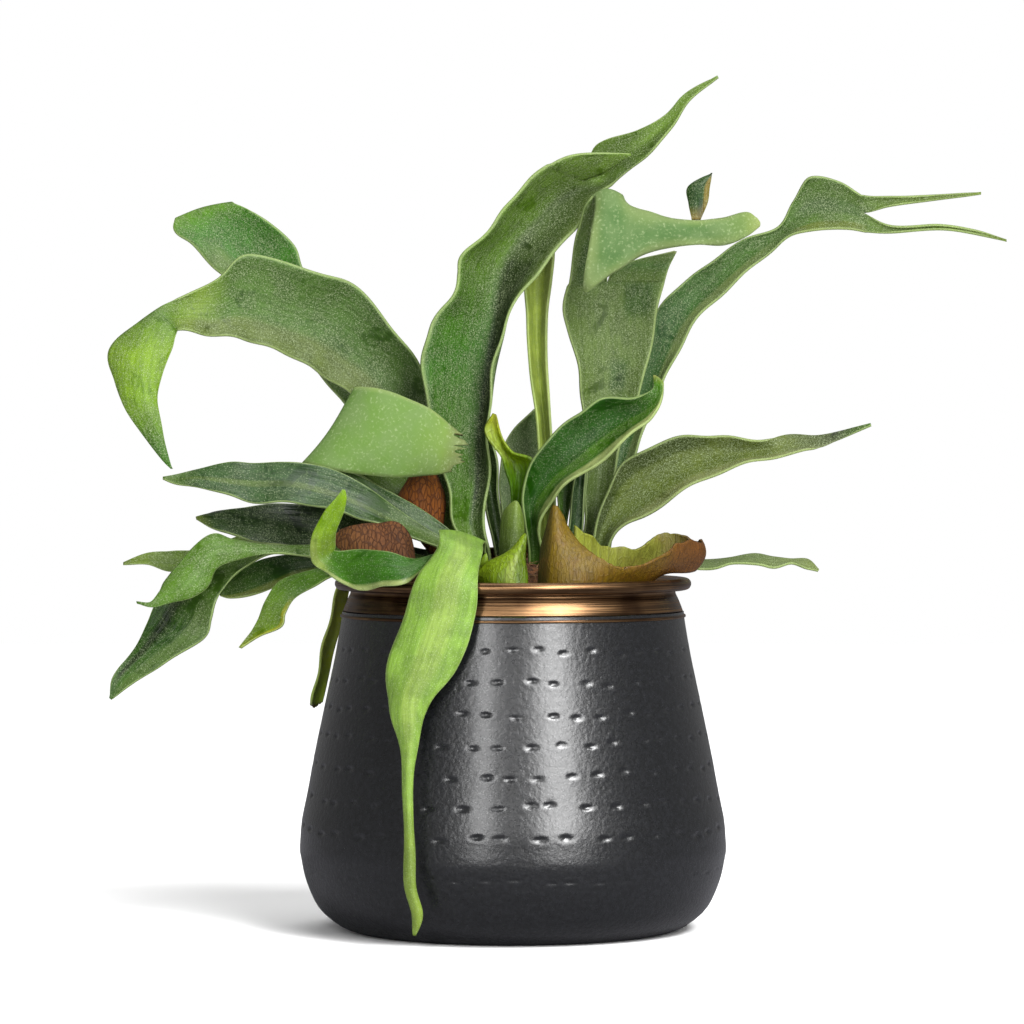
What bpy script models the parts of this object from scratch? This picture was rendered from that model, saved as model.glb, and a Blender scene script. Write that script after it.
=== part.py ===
"""A potted staghorn fern: fronds, shields and short stem in a hammered metal pot.

Lengths in the tables are millimetres.  +Z is up, the origin is the centre of
the pot's base on the floor, and -Y is the front of the plant.
"""
import math

import bmesh
import bpy
from mathutils import Vector

MM = 0.001

# ---- driving dimensions (mm) ----
POT_WALL = 1.5
POT_TOP = 127.3
GAP = 0.3
LEAF_THICK = 1.2
SHIELD_THICK = 1.4
NURSERY_RIM_R = 55.0
NURSERY_BASE_R = 41.0
NURSERY_TOP = 120.0
NURSERY_WALL = 1.0
MIX_EDGE_TOP = 116.5
MIX_CENTRE_TOP = 126.0
ROUND_STEPS = 48

# Outer side of the pot, radius then height, from the foot up to the collar.
POT_OUTSIDE = [
    (63.0, 0.0), (67.5, 1.2), (72.6, 4.2), (78.4, 10.0), (82.8, 20.0),
    (85.4, 31.0), (84.4, 44.0), (82.2, 55.0), (79.0, 72.0), (74.8, 92.0),
    (71.0, 110.0), (68.6, 124.0), (68.3, POT_TOP),
]

# Outer side of the collar, from its foot up to the groove below the bead.
COLLAR_OUTSIDE = [(67.9, 127.6), (67.2, 129.5), (66.0, 132.4), (65.0, 134.6), (65.2, 135.6)]
BEAD_OUTSIDE = [
    (66.2, 136.3), (67.6, 136.2), (69.2, 135.9), (70.5, 136.5), (71.2, 137.8), (71.1, 139.1),
    (70.2, 140.2), (68.9, 140.6), (67.3, 140.4), (65.6, 139.4), (64.4, 137.8),
]
COLLAR_WALL = 1.3

# ---- fronds ----
# Each rung is left margin, midrib, right margin, seen with the upper face
# toward the eye and the frond growing away.  "stem" runs from the crown; the
# optional "tines" carry on from the left and right halves of the last rung.
# "tip" is the single point where the blade (or a tine) ends.
FRONDS = {
    "frond_tall": {
        "stem": [
            ((-15, -7, 139), (-12, -3, 138), (-9, -7, 139)),
            ((-17, -9, 150), (-13, -3, 150), (-9, -7, 150)),
            ((-23.5, -10, 162), (-17.5, -2, 162), (-12, -6, 162)),
            ((-26.5, -8, 178), (-16, 2, 178), (-10, -3, 178)),
            ((-31, -6, 199), (-15, 8, 200), (-9.5, -2, 200)),
            ((-36.5, -4, 222), (-12.7, 12, 221), (-8.6, -1, 222)),
            ((-33.5, -3, 240), (-9.7, 14, 240), (-4, -1, 240)),
            ((-24.3, -3, 252), (-7.8, 15, 252), (2.5, 0, 252)),
            ((-21.8, -2, 262), (-6, 16, 262), (9, 1, 261)),
            ((-19.5, -2, 270), (-3, 16, 270), (15, 4, 269)),
            ((-8, -1, 282), (5, 17, 281), (24.5, 8, 280)),
            ((3, 0, 296), (17, 17, 294), (31.5, 11, 291)),
            ((14, 1, 305), (28, 15, 300), (39.5, 12, 298)),
        ],
        "tines": [
            [((27, 2, 310), (33, 6, 307), (38, 11, 304)), (47, 4, 310)],
            [((33.5, 17, 314.4), (40, 14.5, 308.5), (45, 11, 302.5)),
             ((50, 10, 320), (52.5, 10, 315), (55.5, 6, 311.5)),
             ((61, 8, 326), (62.3, 8, 323.5), (63.8, 6, 321)),
             ((69, 6, 334.5), (69.8, 6, 333), (70.5, 5, 331.3)),
             (82, 4, 341)],
        ],
    },
    "frond_arch": {
        "stem": [
            ((-15, 10, 139), (-13, 11, 140), (-11, 11, 141)),
            ((-19, 11, 151), (-16, 13, 153), (-13, 12, 155)),
            ((-31, 14, 168), (-26, 17, 172), (-21, 16, 176)),
            ((-46, 16, 190), (-37, 20, 197), (-28, 18, 204)),
            ((-62, 14, 211), (-48, 20, 220), (-37, 16, 224)),
            ((-74, 10, 220), (-61, 17, 233), (-48, 12, 240)),
            ((-85, 6, 227), (-75, 13, 243), (-64, 8, 257.8)),
            ((-99, 0, 233), (-92, 7, 248), (-81, 3, 263.2)),
            ((-111, -6, 236.7), (-108, 1, 252), (-106, -2, 270)),
            ((-122, -11, 237.6), (-119.5, -5, 248), (-117, -6, 260)),
            ((-132, -16, 239), (-132, -11, 247), (-130, -9, 253.5)),
            ((-133.3, -21, 238), (-140, -20, 244.5), (-146.5, -17, 244)),
            ((-134.2, -25, 232), (-147, -26, 233), (-159, -22, 231)),
            ((-138.2, -27, 221.5), (-148.5, -29, 221), (-157.2, -26, 219)),
            ((-140, -29, 211), (-147, -31, 210.5), (-153, -28, 209.5)),
            ((-138, -31, 199), (-142.5, -32, 199.5), (-147.3, -30, 200)),
            ((-135.5, -32, 189), (-137.5, -32.5, 189.5), (-139.5, -32, 190)),
        ],
        "tip": (-134.3, -32, 184.4),
    },
    "frond_back_left": {
        "stem": [
            ((-13, 19, 138), (-11, 21, 139), (-9, 20, 140)),
            ((-18, 21, 152), (-15, 24, 154), (-12, 22, 156)),
            ((-34, 25, 171), (-29, 30, 175), (-23, 27, 179)),
            ((-60, 27, 200), (-50, 32, 206), (-42, 28, 212)),
            ((-77.5, 30, 221), (-66, 35, 231), (-55, 31, 240)),
            ((-93, 33, 238), (-82, 39, 249), (-70, 35, 258)),
            ((-112, 36, 257), (-99, 42, 262), (-84.5, 38, 264)),
            ((-122, 38, 266), (-107, 44, 272), (-89.5, 41, 275)),
            ((-131, 40, 275), (-115, 45, 281), (-100, 43, 285)),
            ((-138.5, 42, 281.5), (-128, 47, 288), (-113, 46, 292)),
            ((-137, 49, 286), (-128, 54, 289.8), (-117, 54, 292)),
        ],
        "tip": (-129, 62, 282),
    },
    "frond_folded_torn": {
        "stem": [
            ((-16, 4, 139), (-15, 5, 140), (-14, 6, 141)),
            ((-22, 3.5, 152), (-21, 5, 155), (-19, 6, 158)),
            ((-34, 3, 165), (-33, 6, 171), (-31, 8, 177)),
            ((-50, 0, 175.5), (-49, 3, 184), (-46, 5, 192)),
            ((-66, -6, 183), (-64, -3, 194), (-58, 0, 205)),
            ((-83.5, -13, 187), (-72, -11, 200.5), (-63.5, -8, 215.5)),
            ((-77, -20, 185), (-65.5, -18.5, 199), (-57, -15, 216.3)),
            ((-62, -22, 182.3), (-54.5, -23, 198), (-46, -19, 214)),
            ((-46, -21, 181.2), (-41.5, -24, 196), (-36, -20, 209.5)),
            ((-33, -19, 181.5), (-30.5, -22, 192), (-28, -18, 203.8)),
            ((-24.5, -18, 183.5), (-20.5, -20, 191.5), (-23, -17, 200)),
        ],
    },
    "frond_left_1": {
        "stem": [
            ((-17, -15, 140), (-17, -14, 141), (-17, -13, 142)),
            ((-26, -20, 151), (-26, -18, 153), (-26, -17, 155)),
            ((-35, -23, 155), (-35, -20, 158), (-35, -18.5, 161)),
            ((-47, -27, 160.5), (-48, -23, 164), (-46, -21, 168.5)),
            ((-60, -30, 165), (-61, -26, 171), (-59, -24, 178)),
            ((-73, -32, 168.5), (-74, -28, 176), (-73, -26, 184.8)),
            ((-87, -34, 171), (-88, -30, 179), (-88, -28, 187)),
            ((-101, -35, 171.3), (-102, -31, 179), (-102, -29, 186.5)),
            ((-111, -35, 174), (-112, -32, 180), (-111, -30, 187)),
            ((-123, -35, 177), (-124, -33, 181), (-123, -31, 184.4)),
            ((-132, -34.5, 178.2), (-132, -33.5, 180.2), (-132, -32.5, 182.2)),
        ],
        "tip": (-137.5, -34, 180.8),
    },
    "frond_left_1b": {
        "stem": [
            ((-13, -11, 139), (-14, -10, 140.5), (-14, -9, 142)),
            ((-19, -14, 149), (-20, -12.5, 151.5), (-20, -12, 154)),
            ((-28, -16, 153), (-28, -14, 157), (-27, -13, 161.5)),
            ((-40, -18, 158), (-40, -15, 164), (-39.5, -14, 170)),
            ((-52, -19, 166), (-52, -16, 171), (-51.5, -15, 176.5)),
            ((-63, -19, 175), (-63, -18, 178.5), (-63, -17, 182)),
        ],
        "tip": (-73, -20, 183.5),
    },
    "frond_left_2": {
        "stem": [
            ((-19, 3, 138), (-19, 4, 140), (-19, 5, 142)),
            ((-30, 0, 144.3), (-30, 2, 147), (-30, 4, 150)),
            ((-43, -3, 145.5), (-43, 0, 149.5), (-43, 2, 154)),
            ((-60, -8, 150.5), (-60, -5, 157), (-60, -3, 164)),
            ((-78, -14, 153), (-79, -10, 161), (-78, -8, 169)),
            ((-91, -18, 153.5), (-93, -14, 162), (-94.5, -12, 170.5)),
            ((-103, -20, 155.8), (-106, -17, 163), (-107, -15, 168.7)),
            ((-113, -21, 158.8), (-116, -18, 164), (-117, -16, 167.3)),
            ((-119.5, -20.5, 161), (-120.5, -19, 164), (-121, -17.5, 166.2)),
        ],
        "tip": (-125.5, -19, 164.7),
    },
    "frond_left_3": {
        "stem": [
            ((-18, -11, 138), (-18, -10, 139.5), (-18, -9, 141)),
            ((-28, -15, 143.5), (-28, -13.2, 145.3), (-28, -11.5, 147)),
            ((-50, -16, 147.5), (-50, -14, 150), (-50, -12, 152.5)),
            ((-78, -21, 149.5), (-78, -19, 151.5), (-78, -17, 154)),
            ((-96, -25, 150.8), (-97, -24, 152.3), (-98, -22, 154)),
            ((-108.5, -29, 148.5), (-110, -29.5, 152.5), (-110.5, -26, 156.5)),
            ((-116, -32, 145.5), (-118.5, -33, 151.5), (-119.2, -29, 158)),
            ((-120, -34, 138.5), (-125.5, -36, 144), (-131.5, -32, 147)),
            ((-127, -36, 134), (-131, -38, 139), (-137, -34, 140.5)),
            ((-135, -37, 131.8), (-137, -38, 134.5), (-138.5, -36, 136)),
            ((-141.5, -38, 130.3), (-142, -38.3, 131.2), (-142, -38, 132.2)),
        ],
        "tip": (-147.5, -38, 132),
    },
    "frond_left_4": {
        "stem": [
            ((-20, -3, 137), (-20, -2, 138.5), (-20, -1, 140)),
            ((-31, -5, 141), (-31, -4, 143), (-31, -2.5, 145)),
            ((-52, -9, 143), (-52, -7.5, 144.8), (-52, -6, 146.5)),
            ((-80, -11, 149), (-80, -9, 151), (-80, -7, 152.5)),
            ((-96, -14, 150.5), (-97, -12, 151.7), (-97, -10, 153)),
            ((-107, -18, 144.5), (-110, -15, 147.5), (-112, -13, 150.5)),
            ((-116, -21, 135), (-122, -18, 140), (-127, -15, 146)),
            ((-119, -23, 125), (-130, -19, 130), (-140, -17, 133.5)),
            ((-122.5, -24, 117), (-136, -20, 120.5), (-145, -18, 123)),
            ((-137, -25, 108), (-144, -21, 112), (-149.5, -20, 113.5)),
            ((-147, -25, 101.5), (-152, -23, 104.5), (-155.5, -22, 106)),
            ((-153.5, -25, 97), (-156.5, -24, 99), (-158.5, -24, 101)),
        ],
        "tip": (-159, -25, 93.4),
    },
    "frond_left_tip": {
        "stem": [
            ((-19, 8, 138), (-19, 9, 140), (-19, 10, 142)),
            ((-32, 8, 144), (-32, 9.5, 146), (-32, 11, 148)),
            ((-60, 5, 151.5), (-60, 7, 154), (-60, 9, 156.5)),
            ((-100, 2, 153), (-100, 4, 156), (-100, 6, 159)),
            ((-122, -2, 146), (-123, 0, 149), (-123, 1, 152.3)),
            ((-136, -4, 143.2), (-136, -2, 147), (-136, -1, 151.3)),
            ((-146, -5, 146), (-146, -4, 148), (-146, -3, 150.5)),
        ],
        "tip": (-155.5, -5, 146.3),
    },
    "frond_left_5": {
        "stem": [
            ((-21, 0, 135), (-21, 1, 137), (-21, 2, 139)),
            ((-33, -1, 138), (-33, 0.5, 140), (-33, 2, 142)),
            ((-52, 0, 142.6), (-52, 2.5, 145), (-52, 4.5, 147.5)),
            ((-70, 0, 143.3), (-70, 2.5, 146.5), (-70, 5, 149.5)),
            ((-85, -2, 141.5), (-85, 1, 146), (-85, 4, 150.3)),
            ((-96, -4, 136.8), (-97, -1, 142.5), (-99, 2, 148)),
            ((-105, -5, 133.5), (-107, -2, 138), (-109, 1, 143)),
            ((-112.5, -5, 132.8), (-114, -3, 135), (-115, -1, 138)),
        ],
        "tip": (-117, -4, 133.8),
    },
    "frond_yellow_tip": {
        "stem": [
            ((-18, -14.5, 135), (-18, -13, 136), (-18, -12, 137)),
            ((-30, -20, 140), (-30, -18.5, 141), (-30, -17, 142)),
            ((-48, -24, 142.8), (-48, -22, 144), (-48, -20, 145.2)),
            ((-68, -27, 142.8), (-69, -24.5, 144.5), (-69, -22, 146)),
            ((-78, -28, 138), (-80, -26, 141), (-80.5, -24, 144)),
            ((-86, -29, 133.5), (-89, -27, 137), (-92, -25, 139.8)),
            ((-89.5, -30, 127.5), (-94, -28, 130.5), (-97.5, -27, 132.5)),
            ((-91, -31, 122.3), (-95.5, -29, 123.8), (-100.5, -28, 125)),
            ((-99.5, -31, 118.6), (-101.5, -30, 119.2), (-103.5, -29.5, 119.8)),
        ],
        "tip": (-107.5, -31, 114),
    },
    "frond_side_hanging": {
        "stem": [
            ((-21, 13, 136), (-21, 14, 136.5), (-21, 15, 136)),
            ((-34, 15, 141), (-34, 17, 141.5), (-34, 19, 141)),
            ((-50, 20, 144), (-50, 22.5, 144.7), (-50, 25, 144)),
            ((-60.5, 24, 144.3), (-60, 27.5, 145), (-59, 31, 144.3)),
            ((-68, 25, 142.5), (-66.5, 29, 143), (-65, 33, 142.5)),
            ((-70.7, 24, 136), (-69.5, 29, 136), (-67, 33.5, 136)),
            ((-73.2, 23, 126), (-71.5, 28, 126), (-68.5, 32, 126)),
            ((-77, 22, 112), (-75.5, 26.5, 112), (-72.5, 30, 112)),
            ((-79, 21, 101), (-77.5, 25, 101), (-74.5, 28, 101)),
            ((-81, 20, 92), (-80, 24, 91), (-77, 27, 91)),
            ((-81.6, 21, 88.8), (-80.5, 24, 88), (-78, 27, 89.5)),
        ],
    },
    "frond_curl": {
        "stem": [
            ((-13, -19, 137), (-13, -18.5, 139), (-13, -18, 141)),
            ((-21, -30, 144), (-20, -29, 147), (-19, -28, 149)),
            ((-33, -52, 146), (-31, -48, 149), (-30, -44, 151)),
            ((-42, -62, 140), (-41, -59, 145), (-40, -52, 149.5)),
            ((-50.5, -59, 139), (-50, -57.5, 145), (-49, -52, 152)),
            ((-57.5, -53, 137.2), (-58.5, -51.5, 144.5), (-58.5, -46, 153)),
            ((-63, -49, 138.3), (-65, -46, 144), (-67, -42, 152)),
            ((-71, -46, 143.5), (-72, -43, 147), (-70, -41, 152.5)),
            ((-78.5, -43, 148), (-75.5, -43, 151), (-69.5, -42, 154)),
            ((-78, -45, 158), (-75, -46, 159), (-69, -45, 160)),
            ((-73.5, -48, 167.5), (-70.3, -48.5, 168), (-66, -47, 168)),
            ((-69, -50, 173), (-67.3, -50, 173), (-65, -49, 173)),
        ],
        "tip": (-66, -50, 176.4),
    },
    "frond_front_hanging": {
        "stem": [
            ((-9, -14, 139), (-11, -15, 140), (-13, -14, 139)),
            ((-10, -24, 148), (-14, -25, 150), (-19, -24, 149)),
            ((-11, -34, 153.5), (-18, -35, 157.5), (-25.5, -33, 157.5)),
            ((-11.8, -46, 155), (-20, -48, 159.3), (-28.8, -45, 160.3)),
            ((-12.4, -60, 150.5), (-20.5, -63, 152.5), (-28.8, -58, 155)),
            ((-13.7, -71, 141.5), (-25, -72, 142), (-36, -66, 144)),
            ((-14.6, -73, 128), (-28, -74, 128), (-41.6, -68, 129)),
            ((-21.5, -75, 108), (-35, -76, 108), (-48.5, -69, 107)),
            ((-31.5, -76, 95.5), (-40, -77, 95), (-47.8, -71, 94)),
            ((-36.8, -77, 78), (-40, -78, 78), (-43.3, -75, 78)),
            ((-38.8, -79, 60), (-40.4, -80, 60), (-42, -78, 60)),
            ((-37.8, -82, 40), (-39.5, -83, 40), (-41.4, -81, 40)),
            ((-37.3, -83, 25), (-39.2, -84, 25), (-41.4, -82, 25)),
            ((-35, -82, 14), (-36.7, -83, 13.5), (-38.5, -81, 14)),
        ],
        "tip": (-37.8, -81, 6),
    },
    "frond_stalk_pale": {
        "stem": [
            ((9, 10, 137), (11, 12, 136), (13, 10, 137)),
            ((10, 14, 150), (13, 17, 149), (16, 14, 150)),
            ((11, 17, 170), (14, 21, 170), (17, 17, 170)),
            ((10, 20, 200), (12.7, 26, 200), (15.3, 20, 200)),
            ((6.8, 21, 225), (10.3, 27, 225), (13.8, 21, 225)),
            ((5.7, 22, 245), (9.8, 28, 245), (13.6, 22, 245)),
            ((5, 23, 260), (10.5, 29, 260), (15.5, 23, 260)),
            ((8, 25, 275), (12, 29, 275), (16.5, 25, 275)),
        ],
        "tip": (13, 28, 287),
    },
    "frond_broad": {
        "stem": [
            ((28, 4, 137), (30, 6, 136.5), (32, 4, 137)),
            ((27.5, 5, 149), (30.5, 8, 148.5), (34, 6, 149)),
            ((29, 8, 163), (33, 11, 162.5), (37, 8, 163)),
            ((29, 11, 180), (34.5, 15, 180), (40, 12, 180)),
            ((28.5, 13, 197), (36, 18, 197), (44.5, 15, 197)),
            ((28, 14, 213), (39, 20, 213), (51, 17, 214)),
            ((24.5, 14, 232), (39, 21, 232), (55.5, 18, 232)),
            ((20, 13, 246), (38, 21, 248), (58.5, 18, 249)),
            ((22.5, 12, 257), (38, 20, 259), (61, 17, 259)),
        ],
        "tines": [
            [((24, 11, 268), (31, 14, 269), (38, 15, 270)),
             ((26, 7, 280), (32.5, 9, 281), (39.5, 9, 282)),
             ((29, 1, 289), (34, 2, 291), (41, 3, 291)),
             ((32.5, -2, 292.5), (37, -2, 295.3), (42.5, 0, 293)),
             ((31, -7, 278), (38, -6, 286), (45, -2, 290.5)),
             ((28.3, -7, 255), (40, -8, 273), (50, -3, 287.8)),
             ((39, -7, 262.5), (48, -9, 273), (55.5, -4, 286.2)),
             ((50, -6, 268.8), (56, -8, 277), (61, -5, 284.7)),
             ((65, -5, 272.6), (66, -7, 278), (68, -5, 283)),
             ((74, -4, 273.5), (74.5, -5, 278), (75, -4, 283)),
             ((84, -3, 273.2), (84, -5, 279), (84, -3, 284.3)),
             ((93, -2, 277.3), (94, -3, 281.5), (93, -2, 286.5)),
             ((98, -2, 281), (98.6, -2.4, 282.3), (97.3, -2, 284))],
            [((44, 18, 266), (52, 18, 266), (63, 16, 265.5)), (65.6, 16, 271.6)],
        ],
    },
    "frond_broad_flap": {
        "stem": [
            ((71.2, -4.4, 283.4), (73, -4.3, 283.4), (74.8, -4.2, 283.4)),
            ((70.2, -2, 290), (73.5, -3, 290), (77.6, -2, 290.5)),
            ((69.8, -2, 296.5), (74, -3, 297), (78.4, -2, 296.5)),
        ],
        "tip": (78.8, -1.5, 301.5),
    },
    "frond_right_long": {
        "stem": [
            ((33, 12, 136), (34.5, 13, 135), (36, 12, 136)),
            ((33, 16, 150), (36, 19, 149), (39, 16, 150)),
            ((34, 22, 172), (38, 25, 170), (43, 22, 172)),
            ((42, 27, 202), (47, 31, 199), (52, 27, 196)),
            ((51, 29, 227), (56.5, 32, 222), (61, 27, 219)),
            ((60, 29, 250), (66, 31, 244), (71.5, 26, 240.5)),
            ((73.5, 29, 262.5), (80, 31, 258.5), (86, 26, 255.5)),
            ((93, 28, 276.5), (98, 29, 273.5), (103, 25, 271)),
            ((107.6, 27, 282), (108.7, 28, 279.3), (110, 23, 276.8)),
            ((114, 26, 292.3), (114.5, 27, 285), (116, 21, 279)),
            ((119.7, 24, 302), (122.5, 27, 290), (125, 20, 280.8)),
            ((131.5, 24, 300), (133.5, 26, 290), (135, 21, 280.3)),
            ((141, 24, 294.8), (142, 25, 287.5), (142.5, 22, 279.7)),
        ],
        "tines": [
            [((153, 23, 294), (152.5, 24, 292), (152, 23, 290)),
             ((168, 22, 294.4), (168, 22.5, 293.3), (168, 22, 292.2)),
             (189, 20, 295.2)],
            [((153, 21, 282), (153, 22, 280.7), (153, 21, 279.3)),
             ((172, 19, 282.3), (172, 20, 281.5), (172, 19, 280.6)),
             ((186, 18, 280.3), (186, 18.5, 279.5), (186, 18, 278.7)),
             (199, 17, 276)],
        ],
    },
    "frond_right_low": {
        "stem": [
            ((31, -4, 137), (33, -3, 136.5), (35, -5, 137)),
            ((31.5, -3, 149), (34, 0, 148), (37, -4, 148)),
            ((33.5, -3, 162), (37, 1, 160), (41, -6, 159)),
            ((40, -3, 181.5), (46, 1, 173), (52, -8, 165.3)),
            ((50, -4, 190.3), (57.5, 0, 181), (64, -10, 173)),
            ((66, -5, 196.5), (71, -2, 187), (76.5, -11, 180)),
            ((82, -6, 197.2), (87.5, -4, 191), (92, -12, 186.2)),
            ((99, -8, 195.8), (103, -7, 192), (106, -12, 189.5)),
            ((111, -3, 198), (113, -7, 194), (115, -11, 191)),
            ((121, -5, 197.2), (121.5, -8, 194.5), (122, -9, 192.5)),
            ((130, -6, 199), (130, -7, 197.5), (130.5, -8, 196)),
        ],
        "tip": (142.5, -8, 201.8),
    },
    "frond_glossy": {
        "stem": [
            ((6.5, -10, 138), (8.5, -9, 138), (10.5, -11, 138)),
            ((6.3, -14, 151), (8.5, -12, 151), (11.5, -15, 150)),
            ((4.8, -16, 163), (7.5, -12, 162), (10.5, -19, 160)),
            ((3.2, -17, 174.5), (8, -13, 171.5), (13, -21, 168)),
            ((8, -19, 187), (14.5, -15, 181), (19, -25, 176.5)),
            ((15, -21, 197), (23, -18, 189), (29.5, -27, 183.5)),
            ((25, -23, 205.3), (33, -19, 197.5), (39, -29, 191)),
            ((34, -24, 212), (42, -21, 204), (48, -31, 199)),
            ((46, -26, 212.2), (51, -25, 208), (54, -31, 204.5)),
            ((54.5, -27, 215.3), (56.8, -28, 212.5), (58, -30, 210)),
            ((55.5, -25, 219), (57.5, -26, 218.8), (59.3, -27, 217)),
        ],
        "tip": (56, -23, 220.8),
    },
    "frond_back_grey": {
        "stem": [
            ((-2, 19, 138), (0.5, 21, 137.5), (3, 19, 138)),
            ((-3, 22, 152), (0.5, 25, 152), (4, 22, 152)),
            ((-5, 28, 170), (1, 31, 170), (7, 29, 170)),
            ((-4.7, 32, 189), (3, 35, 189), (10, 33, 187)),
            ((0.3, 34, 199.5), (6, 36, 198), (12, 34, 196)),
        ],
        "tip": (9.3, 35, 208),
    },
    "frond_teal": {
        "stem": [
            ((21.5, 1, 137), (23.5, 2, 136.5), (25.5, 1, 137)),
            ((21.8, 1, 149), (24, 3, 149), (26.5, 2, 149)),
            ((22.5, 2, 163), (25.3, 4, 163), (28, 3, 163)),
            ((24.5, 2, 180), (26.8, 4, 180), (29, 3, 181)),
            ((26.5, 3, 191), (28.2, 4, 191.5), (30, 3, 192)),
        ],
        "tip": (30, 3, 200),
    },
    "frond_small_green": {
        "stem": [
            ((15, 3, 137), (17, 4, 137), (19, 4, 137)),
            ((16, 4, 150), (18, 6, 150), (20, 5, 150)),
            ((18.5, 6, 165), (20, 7.5, 165), (22, 7, 165)),
            ((18, 7, 180), (21.5, 9, 180), (24.5, 8, 180)),
        ],
        "tip": (22.5, 8, 194),
    },
    "frond_right_small": {
        "stem": [
            ((36, 13.5, 130), (36, 12, 129.5), (36, 10.5, 130)),
            ((47, 17, 143), (47, 14, 142.3), (47, 11, 142)),
            ((62, 19, 146.3), (62, 14, 145), (62, 9, 144.3)),
            ((77, 20, 147), (78, 14, 145.3), (79, 9, 143.6)),
            ((88, 19, 147.8), (88, 14, 147), (88, 9, 146)),
            ((98, 20, 149.4), (98, 14, 147.5), (98, 8, 145.4)),
            ((105, 19, 148.3), (105, 14, 146.5), (105, 9, 144.1)),
            ((112, 17, 147.3), (112, 14, 146.7), (112, 11, 146)),
            ((119, 17, 147.2), (119, 13.5, 145.7), (118, 10, 144)),
        ],
        "tip": (123, 13, 143),
    },
    "frond_centre_dark": {
        "stem": [
            ((-5, 3, 138), (-3.5, 4, 138), (-2, 3, 138)),
            ((-7, 2, 150), (-5, 4, 150), (-3, 3, 150)),
            ((-9.5, 3, 162), (-7.5, 6, 162), (-4.5, 4, 162)),
            ((-12, 5, 175), (-9, 8, 175), (-6, 6, 175)),
            ((-13.5, 9, 188), (-10.5, 12, 188), (-6.5, 9, 188)),
        ],
        "tip": (-11, 12, 201),
    },
    "young_roll": {
        "stem": [
            ((-4, -13, 138), (0, -18, 138), (4, -13.5, 138)),
            ((-5, -15, 150), (0, -22, 150), (4.5, -17, 150)),
            ((-4.8, -15, 160), (0, -21.5, 160), (4.3, -18, 160)),
            ((-3.5, -15, 167), (0.5, -20, 167), (3.3, -17, 167)),
        ],
        "tip": (1, -18, 171.5),
    },
    "sprout": {
        "stem": [
            ((-12, -32, 118), (-11, -32.5, 118), (-10, -32, 118)),
            ((-12.6, -36, 143), (-11.5, -36.6, 143), (-10.4, -36, 143)),
            ((-12.6, -36.5, 147), (-11.3, -37, 147.5), (-10, -36.5, 148)),
        ],
        "tip": (-10.8, -36.5, 151),
    },
}

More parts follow.
